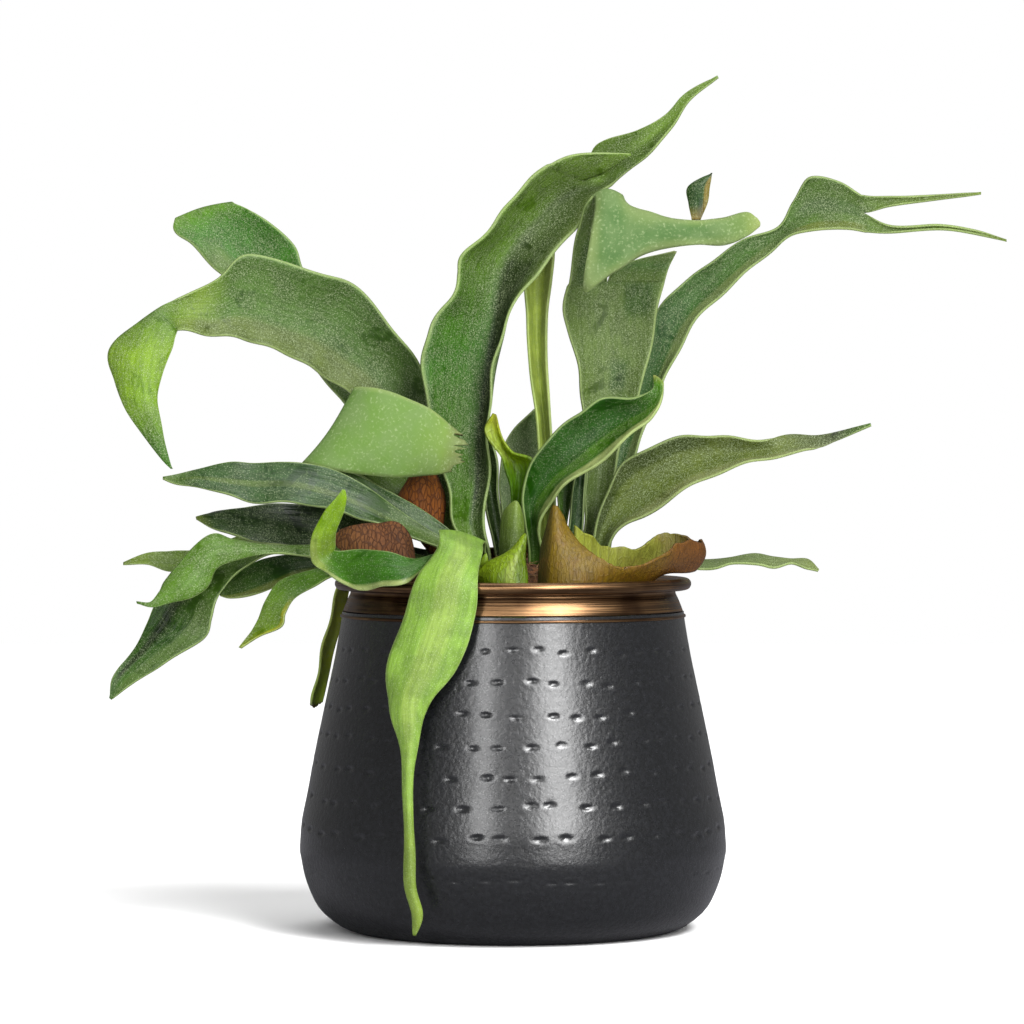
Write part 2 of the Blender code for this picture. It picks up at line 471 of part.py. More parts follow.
# ---- shields: the same kind of rungs ----
SHIELDS = {
    "shield_ochre": {
        "stem": [
            ((11.5, -44, 156), (10, -48, 142), (9, -45, 114)),
            ((16.2, -45, 171.5), (15, -53, 152), (14, -53, 129)),
            ((21.5, -46, 162.5), (22, -55, 149), (22, -56.5, 134)),
            ((32, -52, 151.5), (32, -54.5, 144), (31, -52.5, 134)),
            ((46, -50, 147), (44.5, -47.5, 142.7), (42, -44, 134)),
            ((58, -42, 150.8), (56, -40, 147), (50, -34, 138)),
            ((67, -31, 156.6), (67, -28, 150), (62, -24, 143.3)),
            ((73.5, -17, 155.5), (76, -14, 149.5), (73, -12, 143.8)),
            ((72, -5, 156.5), (72, -4.5, 150), (68, -4, 144.3)),
            ((62, 1.5, 160), (60.5, 1, 152), (57, 0.5, 142)),
            ((49, -6, 153.5), (47.5, -6, 146), (46, -6, 136)),
            ((35, -13, 156), (35, -13, 147), (35, -12, 136)),
            ((25, -20, 162.5), (24.5, -20, 151), (25, -19, 137)),
        ],
    },
    "shield_green": {
        "stem": [
            ((-12, -43, 114), (-4, -49.5, 114), (5, -46.5, 114)),
            ((-13.5, -44, 136), (-4, -52, 136), (5, -49, 136)),
            ((-13.5, -44, 143), (-4, -52, 143.5), (5.2, -48, 144)),
            ((-7, -44, 148.5), (-1, -49, 150), (5.1, -46, 151)),
            ((-0.5, -43.5, 153.5), (2.5, -45, 155), (5, -43, 157)),
        ],
        "tip": (4.6, -42, 158.8),
    },
    "shield_fold": {
        "stem": [
            ((0.5, -3.5, 138), (2, -3, 138), (3.5, -4, 138)),
            ((0, -4, 150), (1.6, -3.5, 150), (3, -5, 150)),
            ((-1, -6, 162), (0.6, -5, 162), (2.3, -7, 162)),
            ((-0.7, -8, 177), (2.5, -5, 176), (4.8, -9, 178)),
            ((-4, -10, 187), (1, -4, 185), (8, -11, 187)),
            ((-7.7, -10, 193), (-3, -5, 191), (-0.5, -9, 190)),
            ((-11, -9, 200), (-7, -7, 199), (-4, -8, 196)),
        ],
        "tip": (-7.4, -8, 206),
    },
    "shield_old_net": {
        "stem": [
            ((-25, -6.3, 142.5), (-23.5, -7, 141.5), (-22, -6.5, 141.5)),
            ((-37, -5, 155), (-32, -8, 153), (-26.5, -5, 152)),
            ((-45, -4, 165), (-36, -9.5, 164), (-27.5, -4, 163)),
            ((-46, -4, 173), (-36, -10, 174), (-27.5, -2.5, 173)),
            ((-41, -4, 180), (-35, -8, 181), (-29, -2, 180)),
            ((-38, -3, 184), (-35, -4, 185), (-32, -2.5, 184)),
        ],
    },
    "shield_dry_left": {
        "stem": [
            ((-26, -36, 113), (-31, -33, 120), (-35, -29, 132)),
            ((-38, -38, 134), (-40, -36, 149), (-43, -31, 161)),
            ((-45, -38, 139), (-50, -37, 152), (-54, -33, 163)),
            ((-54, -39, 145), (-60, -37, 154), (-62.5, -33, 161.5)),
            ((-64, -34, 148), (-68.5, -33, 154), (-70, -29.5, 159.5)),
        ],
    },
    "shield_back": {
        "stem": [
            ((-38, 25, 150), (-38, 27, 138), (-36, 26, 112)),
            ((-26, 37, 155), (-27, 41, 140), (-26, 37, 112)),
            ((-10, 43, 152), (-10, 47, 140), (-10, 43, 112)),
            ((8, 44, 156), (8, 48, 140), (8, 44, 112)),
            ((24, 38, 150), (25, 43, 138), (24, 38, 112)),
            ((36, 29, 147), (37, 32, 137), (36, 29, 112)),
        ],
    },
}


# ---- helpers ----
def material(name, colour, roughness, metallic=0.0):
    """One Principled finish."""
    mat = bpy.data.materials.new(name)
    mat.use_nodes = True
    shader = mat.node_tree.nodes["Principled BSDF"]
    shader.inputs["Base Color"].default_value = (*colour, 1.0)
    shader.inputs["Roughness"].default_value = roughness
    shader.inputs["Metallic"].default_value = metallic
    mat.diffuse_color = (*colour, 1.0)
    return mat


def mesh_object(name, verts, faces, collection, mat=None):
    """A smooth-shaded mesh object from points in millimetres."""
    mesh = bpy.data.meshes.new(name)
    mesh.from_pydata([Vector(v) * MM for v in verts], [], faces)
    mesh.validate()
    mesh.polygons.foreach_set("use_smooth", [True] * len(mesh.polygons))
    if mat:
        mesh.materials.append(mat)
    obj = bpy.data.objects.new(name, mesh)
    collection.objects.link(obj)
    return obj


def spin_profile(name, profile, collection, mat=None, steps=ROUND_STEPS):
    """A closed solid turned from a profile that starts and ends on the axis or closes on itself."""
    ring = [(r, z) for r, z in profile]
    verts, faces, rows = [], [], []
    for r, z in ring:
        if r < 1e-6:
            rows.append([len(verts)])
            verts.append((0.0, 0.0, z))
        else:
            rows.append(list(range(len(verts), len(verts) + steps)))
            for i in range(steps):
                a = 2 * math.pi * i / steps
                verts.append((r * math.cos(a), r * math.sin(a), z))
    pairs = list(zip(rows, rows[1:]))
    if len(rows[0]) > 1:
        pairs.append((rows[-1], rows[0]))
    for low, high in pairs:
        for i in range(steps):
            j = (i + 1) % steps
            if len(low) == 1:
                faces.append((low[0], high[j], high[i]))
            elif len(high) == 1:
                faces.append((low[i], low[j], high[0]))
            else:
                faces.append((low[i], low[j], high[j], high[i]))
    return mesh_object(name, verts, faces, collection, mat)


def offset_profile(points, distance):
    """The same profile moved inward by a wall thickness."""
    moved = []
    for i, (r, z) in enumerate(points):
        r0, z0 = points[max(i - 1, 0)]
        r1, z1 = points[min(i + 1, len(points) - 1)]
        dr, dz = r1 - r0, z1 - z0
        size = math.hypot(dr, dz)
        moved.append((r - dz / size * distance, z + dr / size * distance))
    return moved


def spline(p0, p1, p2, p3, t):
    """A smooth curve through four points, evaluated between the middle two."""
    return 0.5 * ((2 * p1) + (p2 - p0) * t + (2 * p0 - 5 * p1 + 4 * p2 - p3) * t * t
                  + (3 * p1 - p0 - 3 * p2 + p3) * t ** 3)


def close_tip(rungs):
    """A tip given as one point becomes a last short rung."""
    out = [tuple(Vector(p) for p in rung) for rung in rungs if len(rung) == 3
           and not isinstance(rung[0], (int, float))]
    last = rungs[-1]
    if isinstance(last[0], (int, float)):
        across = (out[-1][2] - out[-1][0]).normalized() * 0.6
        tip = Vector(last)
        out.append((tip - across, tip, tip + across))
    return out


def across_points(rung, columns):
    """Points on the shallow curve through left margin, midrib and right margin."""
    left, mid, right = rung
    row = []
    for k in range(columns + 1):
        s = -1 + 2 * k / columns
        row.append(left * (s * (s - 1) / 2) + mid * (1 - s * s) + right * (s * (s + 1) / 2))
    return row


def ladder_rows(rungs, columns, steps, before=None):
    """Rows of points along a smooth sheet through the rungs."""
    first = before or tuple(a * 2 - b for a, b in zip(rungs[0], rungs[1]))
    last = tuple(a * 2 - b for a, b in zip(rungs[-1], rungs[-2]))
    path = [first] + rungs + [last]
    rows = []
    for i in range(1, len(path) - 2):
        for k in range(steps):
            t = k / steps
            rung = tuple(spline(path[i - 1][e], path[i][e], path[i + 1][e], path[i + 2][e], t)
                         for e in range(3))
            rows.append(across_points(rung, columns))
    rows.append(across_points(rungs[-1], columns))
    return rows


def half_rung(rung, side):
    """The left or right half of a rung, as a rung of its own."""
    row = across_points(rung, 4)
    return tuple(row[0:3]) if side == 0 else tuple(row[2:5])


def sheet(table, columns=4, steps=2):
    """Points and faces of one open leaf sheet, forked when the table has tines."""
    stem = close_tip(list(table["stem"]) + ([table["tip"]] if "tip" in table else []))
    verts, faces = [], []

    def add_rows(rows, joined=None):
        previous = joined
        for row in rows:
            ids = list(range(len(verts), len(verts) + len(row)))
            verts.extend(row)
            if previous:
                for a, b, c, d in zip(previous, previous[1:], ids[1:], ids):
                    faces.append((a, b, c, d))
            previous = ids
        return previous

    end = add_rows(ladder_rows(stem, columns, steps))
    for side, tine in enumerate(table.get("tines", [])):
        rungs = [half_rung(stem[-1], side)] + close_tip(tine)
        rows = ladder_rows(rungs, columns // 2, steps, half_rung(stem[-2], side))
        half = end[:columns // 2 + 1] if side == 0 else end[columns // 2:]
        add_rows(rows[1:], half)
    return verts, faces


def leaf_object(name, table, thickness, collection, mat, cutters, columns=4):
    """A leaf sheet given its thickness, with its foot trimmed clear of what carries it."""
    verts, faces = sheet(table, columns)
    obj = mesh_object(name, verts, faces, collection, mat)
    solid = obj.modifiers.new("Leaf thickness", "SOLIDIFY")
    solid.thickness = thickness * MM
    solid.offset = 0.0
    solid.use_even_offset = False
    for cutter in cutters:
        trim = obj.modifiers.new("Trim foot", "BOOLEAN")
        trim.operation = "DIFFERENCE"
        trim.solver = "EXACT"
        trim.object = cutter
    return obj


# ---- the holder ----
def pot_body(collection, mat):
    """Spun body: flat base, round belly and straight shoulder, one wall thick."""
    inside = [(r, z) for r, z in offset_profile(POT_OUTSIDE, POT_WALL)]
    inside = [(inside[-1][0], POT_TOP)] + [p for p in reversed(inside[1:-1]) if p[1] > POT_WALL]
    profile = [(0.0, 0.0)] + POT_OUTSIDE + inside + [(60.0, POT_WALL), (0.0, POT_WALL)]
    return spin_profile("pot_body", profile, collection, mat)


def neck_collar(collection, mat):
    """Sloping collar, a narrow groove, and a rolled bead for a lip."""
    inside = [(r - COLLAR_WALL, z) for r, z in reversed(COLLAR_OUTSIDE)]
    profile = COLLAR_OUTSIDE + BEAD_OUTSIDE + inside
    return spin_profile("neck_collar", profile, collection, mat)


def nursery_pot(collection, mat):
    """Thin growing pot with a turned-out rim, standing on the holder's floor."""
    floor = POT_WALL + GAP
    w = NURSERY_WALL
    profile = [(0.0, floor), (NURSERY_BASE_R, floor), (NURSERY_RIM_R - 2.0, NURSERY_TOP - 6),
               (NURSERY_RIM_R, NURSERY_TOP - 6), (NURSERY_RIM_R, NURSERY_TOP),
               (NURSERY_RIM_R - 2.0 - w, NURSERY_TOP), (NURSERY_RIM_R - 2.0 - w, NURSERY_TOP - 7),
               (NURSERY_BASE_R - w, floor + w), (0.0, floor + w)]
    return spin_profile("nursery_pot", profile, collection, mat, 40)


def mix_profile(grow):
    """The growing mix: a plug inside the nursery pot with a low mounded top."""
    floor = POT_WALL + GAP + NURSERY_WALL + GAP - grow
    wall = NURSERY_WALL + GAP - grow
    top = NURSERY_RIM_R - 2.0 - wall
    rise = MIX_CENTRE_TOP - MIX_EDGE_TOP
    side = [(0.0, floor), (NURSERY_BASE_R - wall - 0.1, floor), (top, NURSERY_TOP - 7),
            (top, MIX_EDGE_TOP + grow)]
    for part in (0.92, 0.8, 0.62, 0.42, 0.2):
        side.append((top * part, MIX_EDGE_TOP + rise * (1 - part ** 2) + grow))
    return side + [(0.0, MIX_CENTRE_TOP + grow)]


def moss_mix(collection, mat):
    """Fibrous growing mix filling the nursery pot."""
    return spin_profile("moss_mix", mix_profile(0.0), collection, mat, 40)


def rhizome_mesh(name, grow, collection, mat=None):
    """Short creeping stem: one knobbly lump with two crowns."""
    verts, faces = [], []
    rows, cols = 12, 28
    for i in range(rows + 1):
        lat = math.pi * (i / rows - 0.5)
        for j in range(cols):
            lon = 2 * math.pi * j / cols
            x, y, z = math.cos(lat) * math.cos(lon), math.cos(lat) * math.sin(lon), math.sin(lat)
            lump = 1 + 0.05 * math.sin(3 * lon + 1) * math.cos(lat) + 0.04 * math.sin(5 * lon)
            saddle = -2.5 * math.exp(-((x - 0.28) / 0.16) ** 2) * max(z, 0)
            verts.append((6 + x * (37 * lump + grow), y * (27 * lump + grow),
                          133.5 + z * (15 + grow) + saddle))
    for i in range(rows):
        for j in range(cols):
            k = (j + 1) % cols
            a, b = i * cols + j, i * cols + k
            faces.append((a, b, b + cols, a + cols))
    obj = mesh_object(name, verts, faces, collection, mat)
    work = bmesh.new()
    work.from_mesh(obj.data)
    bmesh.ops.remove_doubles(work, verts=work.verts, dist=1e-5)
    bmesh.ops.recalc_face_normals(work, faces=work.faces)
    work.to_mesh(obj.data)
    work.free()
    return obj


def trim_with(obj, cutter):
    """Cut one object clear of another."""
    cut = obj.modifiers.new("Seat", "BOOLEAN")
    cut.operation = "DIFFERENCE"
    cut.solver = "EXACT"
    cut.object = cutter


def hide_cutter(obj):
    """Cutters are never part of the object."""
    obj.hide_render = True
    obj.display_type = "WIRE"


def fix_normals(obj):
    """Make every face look outward."""
    work = bmesh.new()
    work.from_mesh(obj.data)
    bmesh.ops.recalc_face_normals(work, faces=work.faces)
    work.to_mesh(obj.data)
    work.free()


# ---- build ----
def build():
    for obj in list(bpy.data.objects):
        bpy.data.objects.remove(obj, do_unlink=True)

    plant = bpy.data.collections.new("staghorn_fern")
    tools = bpy.data.collections.new("cutters")
    bpy.context.scene.collection.children.link(plant)
    bpy.context.scene.collection.children.link(tools)

    mats = {
        "black_paint": material("black_paint", (0.035, 0.035, 0.04), 0.42, 0.3),
        "copper_collar": material("copper_collar", (0.42, 0.24, 0.14), 0.32, 1.0),
        "growing_pot": material("growing_pot", (0.03, 0.03, 0.03), 0.6),
        "mix": material("mix", (0.09, 0.055, 0.03), 0.95),
        "rhizome": material("rhizome", (0.13, 0.07, 0.035), 0.9),
    }
    leaf = {
        "leaf_grey_green": material("leaf_grey_green", (0.10, 0.19, 0.07), 0.6),
        "leaf_dark": material("leaf_dark", (0.035, 0.11, 0.03), 0.5),
        "leaf_pale": material("leaf_pale", (0.36, 0.52, 0.20), 0.6),
        "leaf_bright": material("leaf_bright", (0.25, 0.43, 0.04), 0.45),
        "shield_ochre": material("shield_ochre", (0.35, 0.22, 0.03), 0.75),
        "shield_green": material("shield_green", (0.30, 0.48, 0.06), 0.5),
        "shield_dry": material("shield_dry", (0.27, 0.12, 0.06), 0.85),
    }

    body = pot_body(plant, mats["black_paint"])
    collar = neck_collar(plant, mats["copper_collar"])
    inner = nursery_pot(plant, mats["growing_pot"])
    mix = moss_mix(plant, mats["mix"])
    for obj in (body, collar, inner, mix):
        fix_normals(obj)

    mix_clear = spin_profile("mix_clearance", mix_profile(GAP), tools, None, 40)
    fix_normals(mix_clear)
    rhizome_clear = rhizome_mesh("rhizome_clearance", GAP + 0.1, tools)
    for cutter in (mix_clear, rhizome_clear):
        hide_cutter(cutter)
    rhizome = rhizome_mesh("rhizome", 0.0, plant, mats["rhizome"])
    trim_with(rhizome, mix_clear)

    looks = {
        "frond_tall": "leaf_grey_green", "frond_arch": "leaf_grey_green",
        "frond_back_left": "leaf_grey_green", "frond_folded_torn": "leaf_pale",
        "frond_left_1": "leaf_dark", "frond_left_1b": "leaf_dark", "frond_left_2": "leaf_dark",
        "frond_left_3": "leaf_grey_green", "frond_left_4": "leaf_dark",
        "frond_left_tip": "leaf_grey_green", "frond_left_5": "leaf_dark",
        "frond_yellow_tip": "leaf_dark", "frond_side_hanging": "leaf_bright",
        "frond_curl": "leaf_bright", "frond_front_hanging": "leaf_pale",
        "frond_stalk_pale": "leaf_pale", "frond_broad": "leaf_grey_green",
        "frond_broad_flap": "leaf_dark", "frond_right_long": "leaf_grey_green",
        "frond_right_low": "leaf_grey_green", "frond_glossy": "leaf_dark",
        "frond_back_grey": "leaf_grey_green", "frond_teal": "leaf_dark",
        "frond_small_green": "leaf_dark", "frond_right_small": "leaf_grey_green",
        "frond_centre_dark": "leaf_dark", "young_roll": "leaf_pale", "sprout": "leaf_bright",
        "shield_ochre": "shield_ochre", "shield_green": "shield_green",
        "shield_fold": "shield_green", "shield_old_net": "shield_dry",
        "shield_dry_left": "shield_dry", "shield_back": "shield_dry",
    }
    for name, table in FRONDS.items():
        cutters = [rhizome_clear, mix_clear] if name == "sprout" else [rhizome_clear]
        if name == "frond_broad_flap":
            cutters = []
        leaf_object(name, table, LEAF_THICK, plant, leaf[looks[name]], cutters)
    for name, table in SHIELDS.items():
        leaf_object(name, table, SHIELD_THICK, plant, leaf[looks[name]],
                    [rhizome_clear, mix_clear])


build()
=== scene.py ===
# %% [markdown]
# # A staghorn fern in a hammered metal pot
# The plant is a fan of leathery fronds over a few papery shield leaves, in a
# growing pot that stands inside a dented black metal pot with a copper collar.
# Each leaf is one thin sheet lofted through a short list of cross-sections, so
# this notebook first sets up small helpers, then builds one kind of piece at a time.

# %% Load the part that the looks are built around
import math
import random

import bpy
import numpy as np
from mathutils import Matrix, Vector


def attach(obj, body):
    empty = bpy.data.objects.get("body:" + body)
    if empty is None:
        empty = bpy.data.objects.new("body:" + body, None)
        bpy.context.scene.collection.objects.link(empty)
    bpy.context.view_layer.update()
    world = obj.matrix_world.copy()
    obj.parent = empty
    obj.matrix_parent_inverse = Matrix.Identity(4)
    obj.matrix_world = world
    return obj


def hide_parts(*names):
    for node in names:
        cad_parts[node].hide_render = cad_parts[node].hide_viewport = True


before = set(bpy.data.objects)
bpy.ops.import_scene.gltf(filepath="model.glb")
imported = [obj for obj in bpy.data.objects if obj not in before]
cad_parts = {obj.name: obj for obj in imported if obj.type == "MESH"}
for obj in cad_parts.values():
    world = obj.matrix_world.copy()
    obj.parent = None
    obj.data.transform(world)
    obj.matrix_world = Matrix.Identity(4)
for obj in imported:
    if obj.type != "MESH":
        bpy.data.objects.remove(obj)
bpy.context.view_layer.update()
MM = 0.001
print("parts in the frame:", len(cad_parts))

# %% [markdown]
# ## Colours and nodes
# Paint charts and colour pickers give sRGB hex values, while Blender shades with
# linear ones, so one function converts every colour. Another small one adds a
# shader node and fills its inputs, which keeps each finish short to read.

# %% Colour and node helpers
def srgb(code):
    """An sRGB hex colour as the linear colour that Blender shades with."""
    parts = [int(code[i:i + 2], 16) / 255 for i in (1, 3, 5)]
    return [c / 12.92 if c <= 0.04045 else ((c + 0.055) / 1.055) ** 2.4 for c in parts] + [1.0]


def add(tree, kind, inputs=None, **settings):
    """Adds one node: settings are its own choices, inputs are values or sockets."""
    made = tree.nodes.new(kind)
    for key, value in settings.items():
        setattr(made, key, value)
    for key, value in (inputs or {}).items():
        if isinstance(value, bpy.types.NodeSocket):
            tree.links.new(value, made.inputs[key])
        else:
            made.inputs[key].default_value = value
    return made


def finish_named(name):
    """A new material, its node tree and its Principled shader."""
    mat = bpy.data.materials.new(name)
    mat.use_nodes = True
    return mat, mat.node_tree, mat.node_tree.nodes["Principled BSDF"]


def steps(tree, value, low, high, to_low=0.0, to_high=1.0):
    """value remapped smoothly from low..high to to_low..to_high."""
    return add(tree, "ShaderNodeMapRange", {"Value": value, "From Min": low, "From Max": high,
               "To Min": to_low, "To Max": to_high}, interpolation_type="SMOOTHSTEP").outputs[0]


def mix(tree, amount, a, b, how="MIX"):
    """Two colours mixed by an amount."""
    made = add(tree, "ShaderNodeMix", data_type="RGBA", blend_type=how)
    for socket, value in ((made.inputs[0], amount), (made.inputs[6], a), (made.inputs[7], b)):
        if isinstance(value, bpy.types.NodeSocket):
            tree.links.new(value, socket)
        else:
            socket.default_value = value
    return made.outputs[2]


def into(tree, value, socket):
    """Links a node's output to a shader input."""
    tree.links.new(value, socket)


def bump(tree, height, depth_mm, strength=1.0):
    """A bump whose full height is depth_mm."""
    return add(tree, "ShaderNodeBump", {"Height": height, "Distance": depth_mm * MM,
                                        "Strength": strength}).outputs["Normal"]


def new_piece(name, points, faces, mats, smooth=True):
    """A mesh object from points in millimetres."""
    mesh = bpy.data.meshes.new(name)
    mesh.from_pydata((np.asarray(points, dtype=float) * MM).tolist(), [], faces)
    mesh.polygons.foreach_set("use_smooth", [smooth] * len(mesh.polygons))
    for mat in mats:
        mesh.materials.append(mat)
    piece = bpy.data.objects.new(name, mesh)
    bpy.context.scene.collection.objects.link(piece)
    return piece


def joins(piece, slot_name, *nodes):
    """The piece moves with the part and stands for these nodes; slot_name is not used."""
    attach(piece, "root")
    if nodes:
        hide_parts(*nodes)


print("helpers ready")

# %% [markdown]
# ## Satin black paint
# Powder paint on sheet steel cures with a fine orange-peel skin: low bumps about
# 1.8 mm apart. They break a soft light's reflection into a grainy, satin glow,
# which is why the paint is dark but never looks like plain black.

# %% Satin black paint
def satin_black_paint():
    """Dark paint whose bumps and grain make its reflections satin."""
    mat, tree, shader = finish_named("powder paint, satin black orange-peel")
    place = add(tree, "ShaderNodeTexCoord").outputs["Object"]
    # 550 per metre is one bump every 1.8 mm; 1800 is the finer grain between.
    peel = add(tree, "ShaderNodeTexNoise", {"Vector": place, "Scale": 550.0, "Detail": 2.0}).outputs[0]
    grain = add(tree, "ShaderNodeTexNoise", {"Vector": place, "Scale": 1800.0, "Detail": 1.0}).outputs[0]
    tone = steps(tree, peel, 0.35, 0.7)
    into(tree, mix(tree, tone, srgb("#08090b"), srgb("#101114")), shader.inputs["Base Color"])
    into(tree, steps(tree, grain, 0.3, 0.7, 0.27, 0.40), shader.inputs["Roughness"])
    shader.inputs["IOR"].default_value = 1.5
    shader.inputs["Coat Weight"].default_value = 0.6
    shader.inputs["Coat Roughness"].default_value = 0.25
    low = bump(tree, peel, 0.22)
    fine = add(tree, "ShaderNodeBump", {"Height": grain, "Distance": 0.03 * MM, "Normal": low})
    into(tree, fine.outputs["Normal"], shader.inputs["Normal"])
    return mat


black_paint = satin_black_paint()
print(black_paint.name)

# %% [markdown]
# ## The hammered pot
# The maker spins the pot from sheet steel and then punches rows of short dents
# round it. A revolved profile gives the spun wall. The dents are real dips in
# the mesh, because a bump map would stay flat at the edge of the pot, so rings
# are packed closely only where a row of dents runs.

# %% The hammered pot
POT_OUTSIDE = [
    (63.0, 0.0), (67.5, 1.2), (72.6, 4.2), (78.4, 10.0), (82.8, 20.0),
    (84.8, 29.0), (85.4, 32.4), (85.3, 33.2), (84.4, 44.0), (82.2, 55.0), (79.0, 72.0),
    (74.8, 92.0), (71.0, 110.0), (68.6, 124.0), (68.3, 127.3),
]
POT_TOP = POT_OUTSIDE[-1][1]
POT_WALL = 1.5
AROUND = 600
PLAIN_STEP = 2.4
DENT_STEP = 0.5
DENT_REACH = 4.0
LEAST_STEP = 0.15
# height in mm, dents round the pot, half width, half height and depth of a dent
DENT_ROWS = [
    (113.5, 40, 1.9, 0.85, 0.55), (102.0, 41, 2.0, 0.9, 0.6), (90.0, 42, 2.0, 0.95, 0.65),
    (78.5, 42, 2.0, 0.95, 0.65), (66.5, 42, 2.1, 1.0, 0.7), (54.5, 42, 2.1, 1.0, 0.7),
    (42.5, 42, 2.2, 1.0, 0.7), (26.0, 46, 2.6, 0.6, 0.35),
]


print("dents round the pot:", sum(row[1] for row in DENT_ROWS))

# %% [markdown]
# ## Curves and turned walls
# A Catmull-Rom curve passes through every point it is given, so a few measured
# points are enough for a smooth profile. Turning it is then only a matter of
# joining one ring of points to the next.

# %% Curve and ring helpers
def catmull(points, count):
    """A smooth curve through every point, count samples to a span."""
    p = np.asarray(points, dtype=float)
    p = np.vstack([2 * p[0] - p[1], p, 2 * p[-1] - p[-2]])
    out = []
    for i in range(1, len(p) - 2):
        for k in range(count):
            t = k / count
            out.append(0.5 * (2 * p[i] + (p[i + 1] - p[i - 1]) * t
                              + (2 * p[i - 1] - 5 * p[i] + 4 * p[i + 1] - p[i + 2]) * t * t
                              + (3 * p[i] - p[i - 1] - 3 * p[i + 1] + p[i + 2]) * t ** 3))
    out.append(p[-2])
    return np.array(out)


def revolve_rings(rings, around, closed=True):
    """Faces between rings of points, each ring `around` points long."""
    faces = []
    last = len(rings) if closed else len(rings) - 1
    for i in range(last):
        a, b = i * around, (i + 1) % len(rings) * around
        for k in range(around):
            n = (k + 1) % around
            faces.append((a + k, a + n, b + n, b + k))
    return faces


print("curve helpers ready")

# %% [markdown]
# ## One dent
# A dent is a small, wide bell curve pushed into the wall. A wider, shallower one
# with the opposite sign raises a lip round it, as the punch does to real sheet.
# Each dent differs a little in place and size, because they are struck by hand.

# %% Dents
def dent_depth(height, angle, radius):
    """How far the wall is pushed in at this height, all the way round, in mm."""
    push = np.zeros_like(angle)
    rng = np.random.default_rng(7)
    for row, (centre, count, half_w, half_h, depth) in enumerate(DENT_ROWS):
        shift, size = rng.uniform(-0.22, 0.22, count), rng.uniform(0.75, 1.2, count)
        lift, tall = rng.uniform(-0.9, 0.9, count), rng.uniform(0.85, 1.2, count)
        if abs(height - centre) > DENT_REACH:
            continue
        pitch = 2 * math.pi / count
        turn = angle / pitch - 0.37 * row
        near = np.round(turn).astype(int)
        pick = near % count
        u = (turn - near - shift[pick]) * pitch * radius
        wave = 0.8 * np.sin(3 * angle + row)
        v = (height - centre - lift[pick] - wave) / (half_h * tall[pick])
        shape = np.exp(-(u / half_w) ** 2 - v ** 2)
        lip = np.exp(-(u / half_w / 1.7) ** 2 - (v / 2.0) ** 2)
        push += depth * size[pick] * (1.15 * shape - 0.28 * lip)
    return push


print("deepest dent in mm:", max(row[4] for row in DENT_ROWS))

# %% [markdown]
# ## The pot's wall
# Rings lie close together where dents run and further apart between them. The
# inner wall and the floor carry no dents, so they need only a few rings.

# %% The pot's wall
def hammered_pot():
    """The dented outer wall, the lip, the plain inner wall and the floor, as one solid."""
    smooth = catmull(POT_OUTSIDE, 12)
    heights = list(np.arange(0.0, POT_TOP, PLAIN_STEP)) + [POT_TOP, 0.6, 1.2, 5.0]
    for centre in (row[0] for row in DENT_ROWS):
        heights += list(np.arange(centre - 3.0, centre + 3.05, DENT_STEP))
    heights = sorted(set(round(float(h), 2) for h in heights))
    heights = [h for i, h in enumerate(heights) if i == 0 or h - heights[i - 1] > LEAST_STEP]
    angle = np.arange(AROUND) * 2 * math.pi / AROUND
    rings = []
    for h in heights:
        radius = np.interp(h, smooth[:, 1], smooth[:, 0])
        r = radius - dent_depth(h, angle, radius)
        rings.append(np.stack([r * np.cos(angle), r * np.sin(angle), np.full(AROUND, h)], axis=1))
    for h in (POT_TOP, 110.0, 72.0, 44.0, 31.0, 14.0, 4.0, 1.5):
        r = np.interp(h, smooth[:, 1], smooth[:, 0]) - POT_WALL - (2.0 if h < 5 else 0.0)
        rings.append(np.stack([r * np.cos(angle), r * np.sin(angle), np.full(AROUND, h)], axis=1))
    points = np.vstack(rings)
    faces = revolve_rings(rings, AROUND, closed=False)
    last = (len(rings) - 1) * AROUND
    faces.append(tuple(last + k for k in range(AROUND)))
    faces.append(tuple(reversed(range(AROUND))))
    pot = new_piece("hammered_pot", points, faces, [black_paint])
    # The flat bottom and the lip keep their edges.
    pot.data.set_sharp_from_angle(angle=math.radians(50))
    joins(pot, "black_paint", "pot_body")
    return pot


pot = hammered_pot()
print("pot faces:", len(pot.data.polygons))

# %% [markdown]
# ## Copper collar
# The collar is plated, then brushed while it turns, so its scratches run level
# round the neck. Stretching a noise a hundredfold round the ring gives those
# lines, and the antiquing leaves darker brown between the bright ones.

# %% Copper collar
def brushed_antique_copper():
    """Plated copper with level brush lines and brown clouds of antiquing."""
    mat, tree, shader = finish_named("copper plate, brushed and antiqued")
    place = add(tree, "ShaderNodeTexCoord").outputs["Object"]
    # 9000 per metre up the wall is a scratch every 0.1 mm, too fine to show, so
    # 2600 draws one every 0.4 mm; along the ring they are centimetres long.
    lines = add(tree, "ShaderNodeMapping", {"Vector": place, "Scale": (20.0, 20.0, 2600.0)})
    brushed = add(tree, "ShaderNodeTexNoise", {"Vector": lines.outputs[0], "Scale": 1.0,
                                               "Detail": 3.0}).outputs[0]
    cloud = add(tree, "ShaderNodeTexNoise", {"Vector": place, "Scale": 60.0, "Detail": 3.0}).outputs[0]
    metal = mix(tree, steps(tree, brushed, 0.35, 0.65), srgb("#55402e"), srgb("#94724f"))
    aged = mix(tree, steps(tree, cloud, 0.4, 0.7, 0.0, 0.7), metal, srgb("#3e281c"))
    into(tree, aged, shader.inputs["Base Color"])
    shader.inputs["Metallic"].default_value = 1.0
    into(tree, steps(tree, brushed, 0.3, 0.7, 0.26, 0.42), shader.inputs["Roughness"])
    into(tree, bump(tree, brushed, 0.03), shader.inputs["Normal"])
    return mat


copper = brushed_antique_copper()
print(copper.name)

